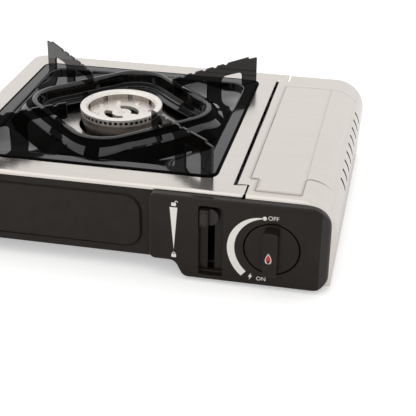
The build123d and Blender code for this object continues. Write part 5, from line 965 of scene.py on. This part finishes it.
padlocks = padlock((41.0, 68.6), True) + padlock((40.9, 22.6), False)
print_mark("lever_marks", padlocks, PANEL_FACE, "case", white_ink)

# %% Words at the knob
def lettering(text, size):
    """Text in Blender's own font, centred on the origin: it becomes a mesh, whose points and triangles
    come back as arrays in millimetres."""
    curve = bpy.data.curves.new("letters", "FONT")
    curve.body, curve.size, curve.align_x, curve.align_y = text, size, "CENTER", "CENTER"
    letters = bpy.data.objects.new("letters", curve)
    bpy.context.collection.objects.link(letters)
    bpy.context.view_layer.update()
    mesh = bpy.data.meshes.new_from_object(letters.evaluated_get(bpy.context.evaluated_depsgraph_get()))
    points = np.empty(3 * len(mesh.vertices))
    mesh.vertices.foreach_get("co", points)
    mesh.calc_loop_triangles()
    faces = np.empty(3 * len(mesh.loop_triangles), np.int32)
    mesh.loop_triangles.foreach_get("vertices", faces)
    bpy.data.objects.remove(letters)
    bpy.data.meshes.remove(mesh)
    return points.reshape(-1, 3)[:, :2], faces.reshape(-1, 3)


letter_parts = []
for text, centre in (("OFF", (119.6, 64.5)), ("ON", (111.5, 9.6))):
    points, faces = lettering(text, 4.9)
    points = np.column_stack([points + centre, np.full(len(points), PANEL_FACE + PROUD)])
    letter_parts.append((points @ FRONT, faces))
make_piece("knob_words", letter_parts, "case", white_ink, gauge=INK, inside=INSIDE_STOVE)

# %% [markdown]
# The grip carries a red flame with a pale outline and a tongue left bare. It is a drop, whose width is
# the sine of the angle times a power of the sine of half of it, bent a little to one side.

# %% Flame on the knob
def shrink(loop, share):
    """Loop drawn in towards its middle, to a share of its size."""
    return (loop - loop.mean(axis=0)) * share + loop.mean(axis=0)


t = np.linspace(0, 2 * np.pi, 72, endpoint=False)
drop = np.column_stack([np.sin(t) * np.sin(t / 2) ** 1.5, np.cos(t)])
flame = drop * (3.9, 4.6) + 0.3 * np.sin(2 * t)[:, None] * [1, 0] + KNOB + (-1.0, -2.6)
tongue = drop * (1.3, 1.9) + KNOB + (-1.0, -5.2)
print_mark("flame_outline", [[flame, shrink(flame, 0.8)]], GRIP_TOP, "knob", white_ink)
print_mark("flame", [[shrink(flame, 0.8), tongue]], GRIP_TOP, "knob", red_ink)

# %% [markdown]
# ## Floor, world and light
# The photograph shows the stove cut out on white, under even studio light. A pale floor carries the soft
# shadow, and glows a little to the camera and in mirrors, so that it runs into the white behind it.

# %% Floor
floor_x, floor_y = np.meshgrid(np.linspace(-6, 6, 13), np.linspace(-6, 6, 13))
floor_points, floor_faces = grid(np.stack([floor_x, floor_y, np.zeros_like(floor_x)], -1))
floor_mesh = bpy.data.meshes.new("floor")
floor_mesh.from_pydata(floor_points, [], floor_faces.tolist())
floor = bpy.data.objects.new("floor", floor_mesh)
bpy.context.collection.objects.link(floor)


def seen_ray(tree, *kinds):
    """Socket that is 1 for a ray of any of these kinds: the largest of Light Path's outputs for them."""
    rays = add(tree, "LightPath").outputs
    seen = rays[kinds[0]]
    for kind in kinds[1:]:
        seen = add(tree, "Math", {0: seen, 1: rays[kind]}, operation="MAXIMUM").outputs[0]
    return seen


pale = bpy.data.materials.new("pale_floor")
pale.use_nodes = True
pale_tree = pale.node_tree
pale_tree.nodes.clear()
floor_seen = seen_ray(pale_tree, "Is Camera Ray", "Is Glossy Ray")
matt = add(pale_tree, "BsdfDiffuse", {"Color": linear("#F2F1F0")})
strength = add(pale_tree, "MapRange", {"Value": seen_ray(pale_tree, "Is Camera Ray"), "To Min": 0.12,
                                       "To Max": 0.4})
glow = add(pale_tree, "Emission", {"Color": linear("#FFFFFF"), "Strength": strength.outputs["Result"]})
both = add(pale_tree, "AddShader", {0: matt.outputs[0], 1: glow.outputs[0]})
floor_mix = add(pale_tree, "MixShader", {0: floor_seen, 1: matt.outputs[0], 2: both.outputs[0]})
add(pale_tree, "OutputMaterial", {"Surface": floor_mix.outputs[0]})
floor_mesh.materials.append(pale)
print("floor of", len(floor_faces), "faces")

# %% [markdown]
# To the camera and in mirrors the world is plain white, and as light it is weaker, so that one large
# soft lamp, high on the left, gives the shapes their shade.

# %% World and lamp
world = bpy.data.worlds.new("white_studio")
bpy.context.scene.world = world
world.use_nodes = True
sky = world.node_tree
sky.nodes.clear()
sky_seen = seen_ray(sky, "Is Camera Ray", "Is Glossy Ray", "Is Transmission Ray")
soft = add(sky, "Background", {"Color": linear("#FFFFFF"), "Strength": 0.88})
white = add(sky, "Background", {"Color": linear("#FFFFFF"), "Strength": 1.0})
sky_mix = add(sky, "MixShader", {0: sky_seen, 1: soft.outputs[0], 2: white.outputs[0]})
add(sky, "OutputWorld", {"Surface": sky_mix.outputs[0]})

lamp = bpy.data.lights.new("high_left", "AREA")
lamp.size, lamp.energy = 3.0, 7.0
light = bpy.data.objects.new("high_left", lamp)
lamp_place, lamp_target = np.array([-0.9, -0.5, 1.4]), np.array([0, 0, 0.05])  # metres
lamp_back = (lamp_place - lamp_target) / np.linalg.norm(lamp_place - lamp_target)
lamp_side = np.cross([0, 0, 1], lamp_back)
lamp_side = lamp_side / np.linalg.norm(lamp_side)
light.matrix_world = placed([lamp_side, np.cross(lamp_back, lamp_side), lamp_back], lamp_place)
bpy.context.collection.objects.link(light)
bpy.context.scene.view_settings.view_transform = "Standard"
print("stage set with", len(bpy.data.lights), "lamp")
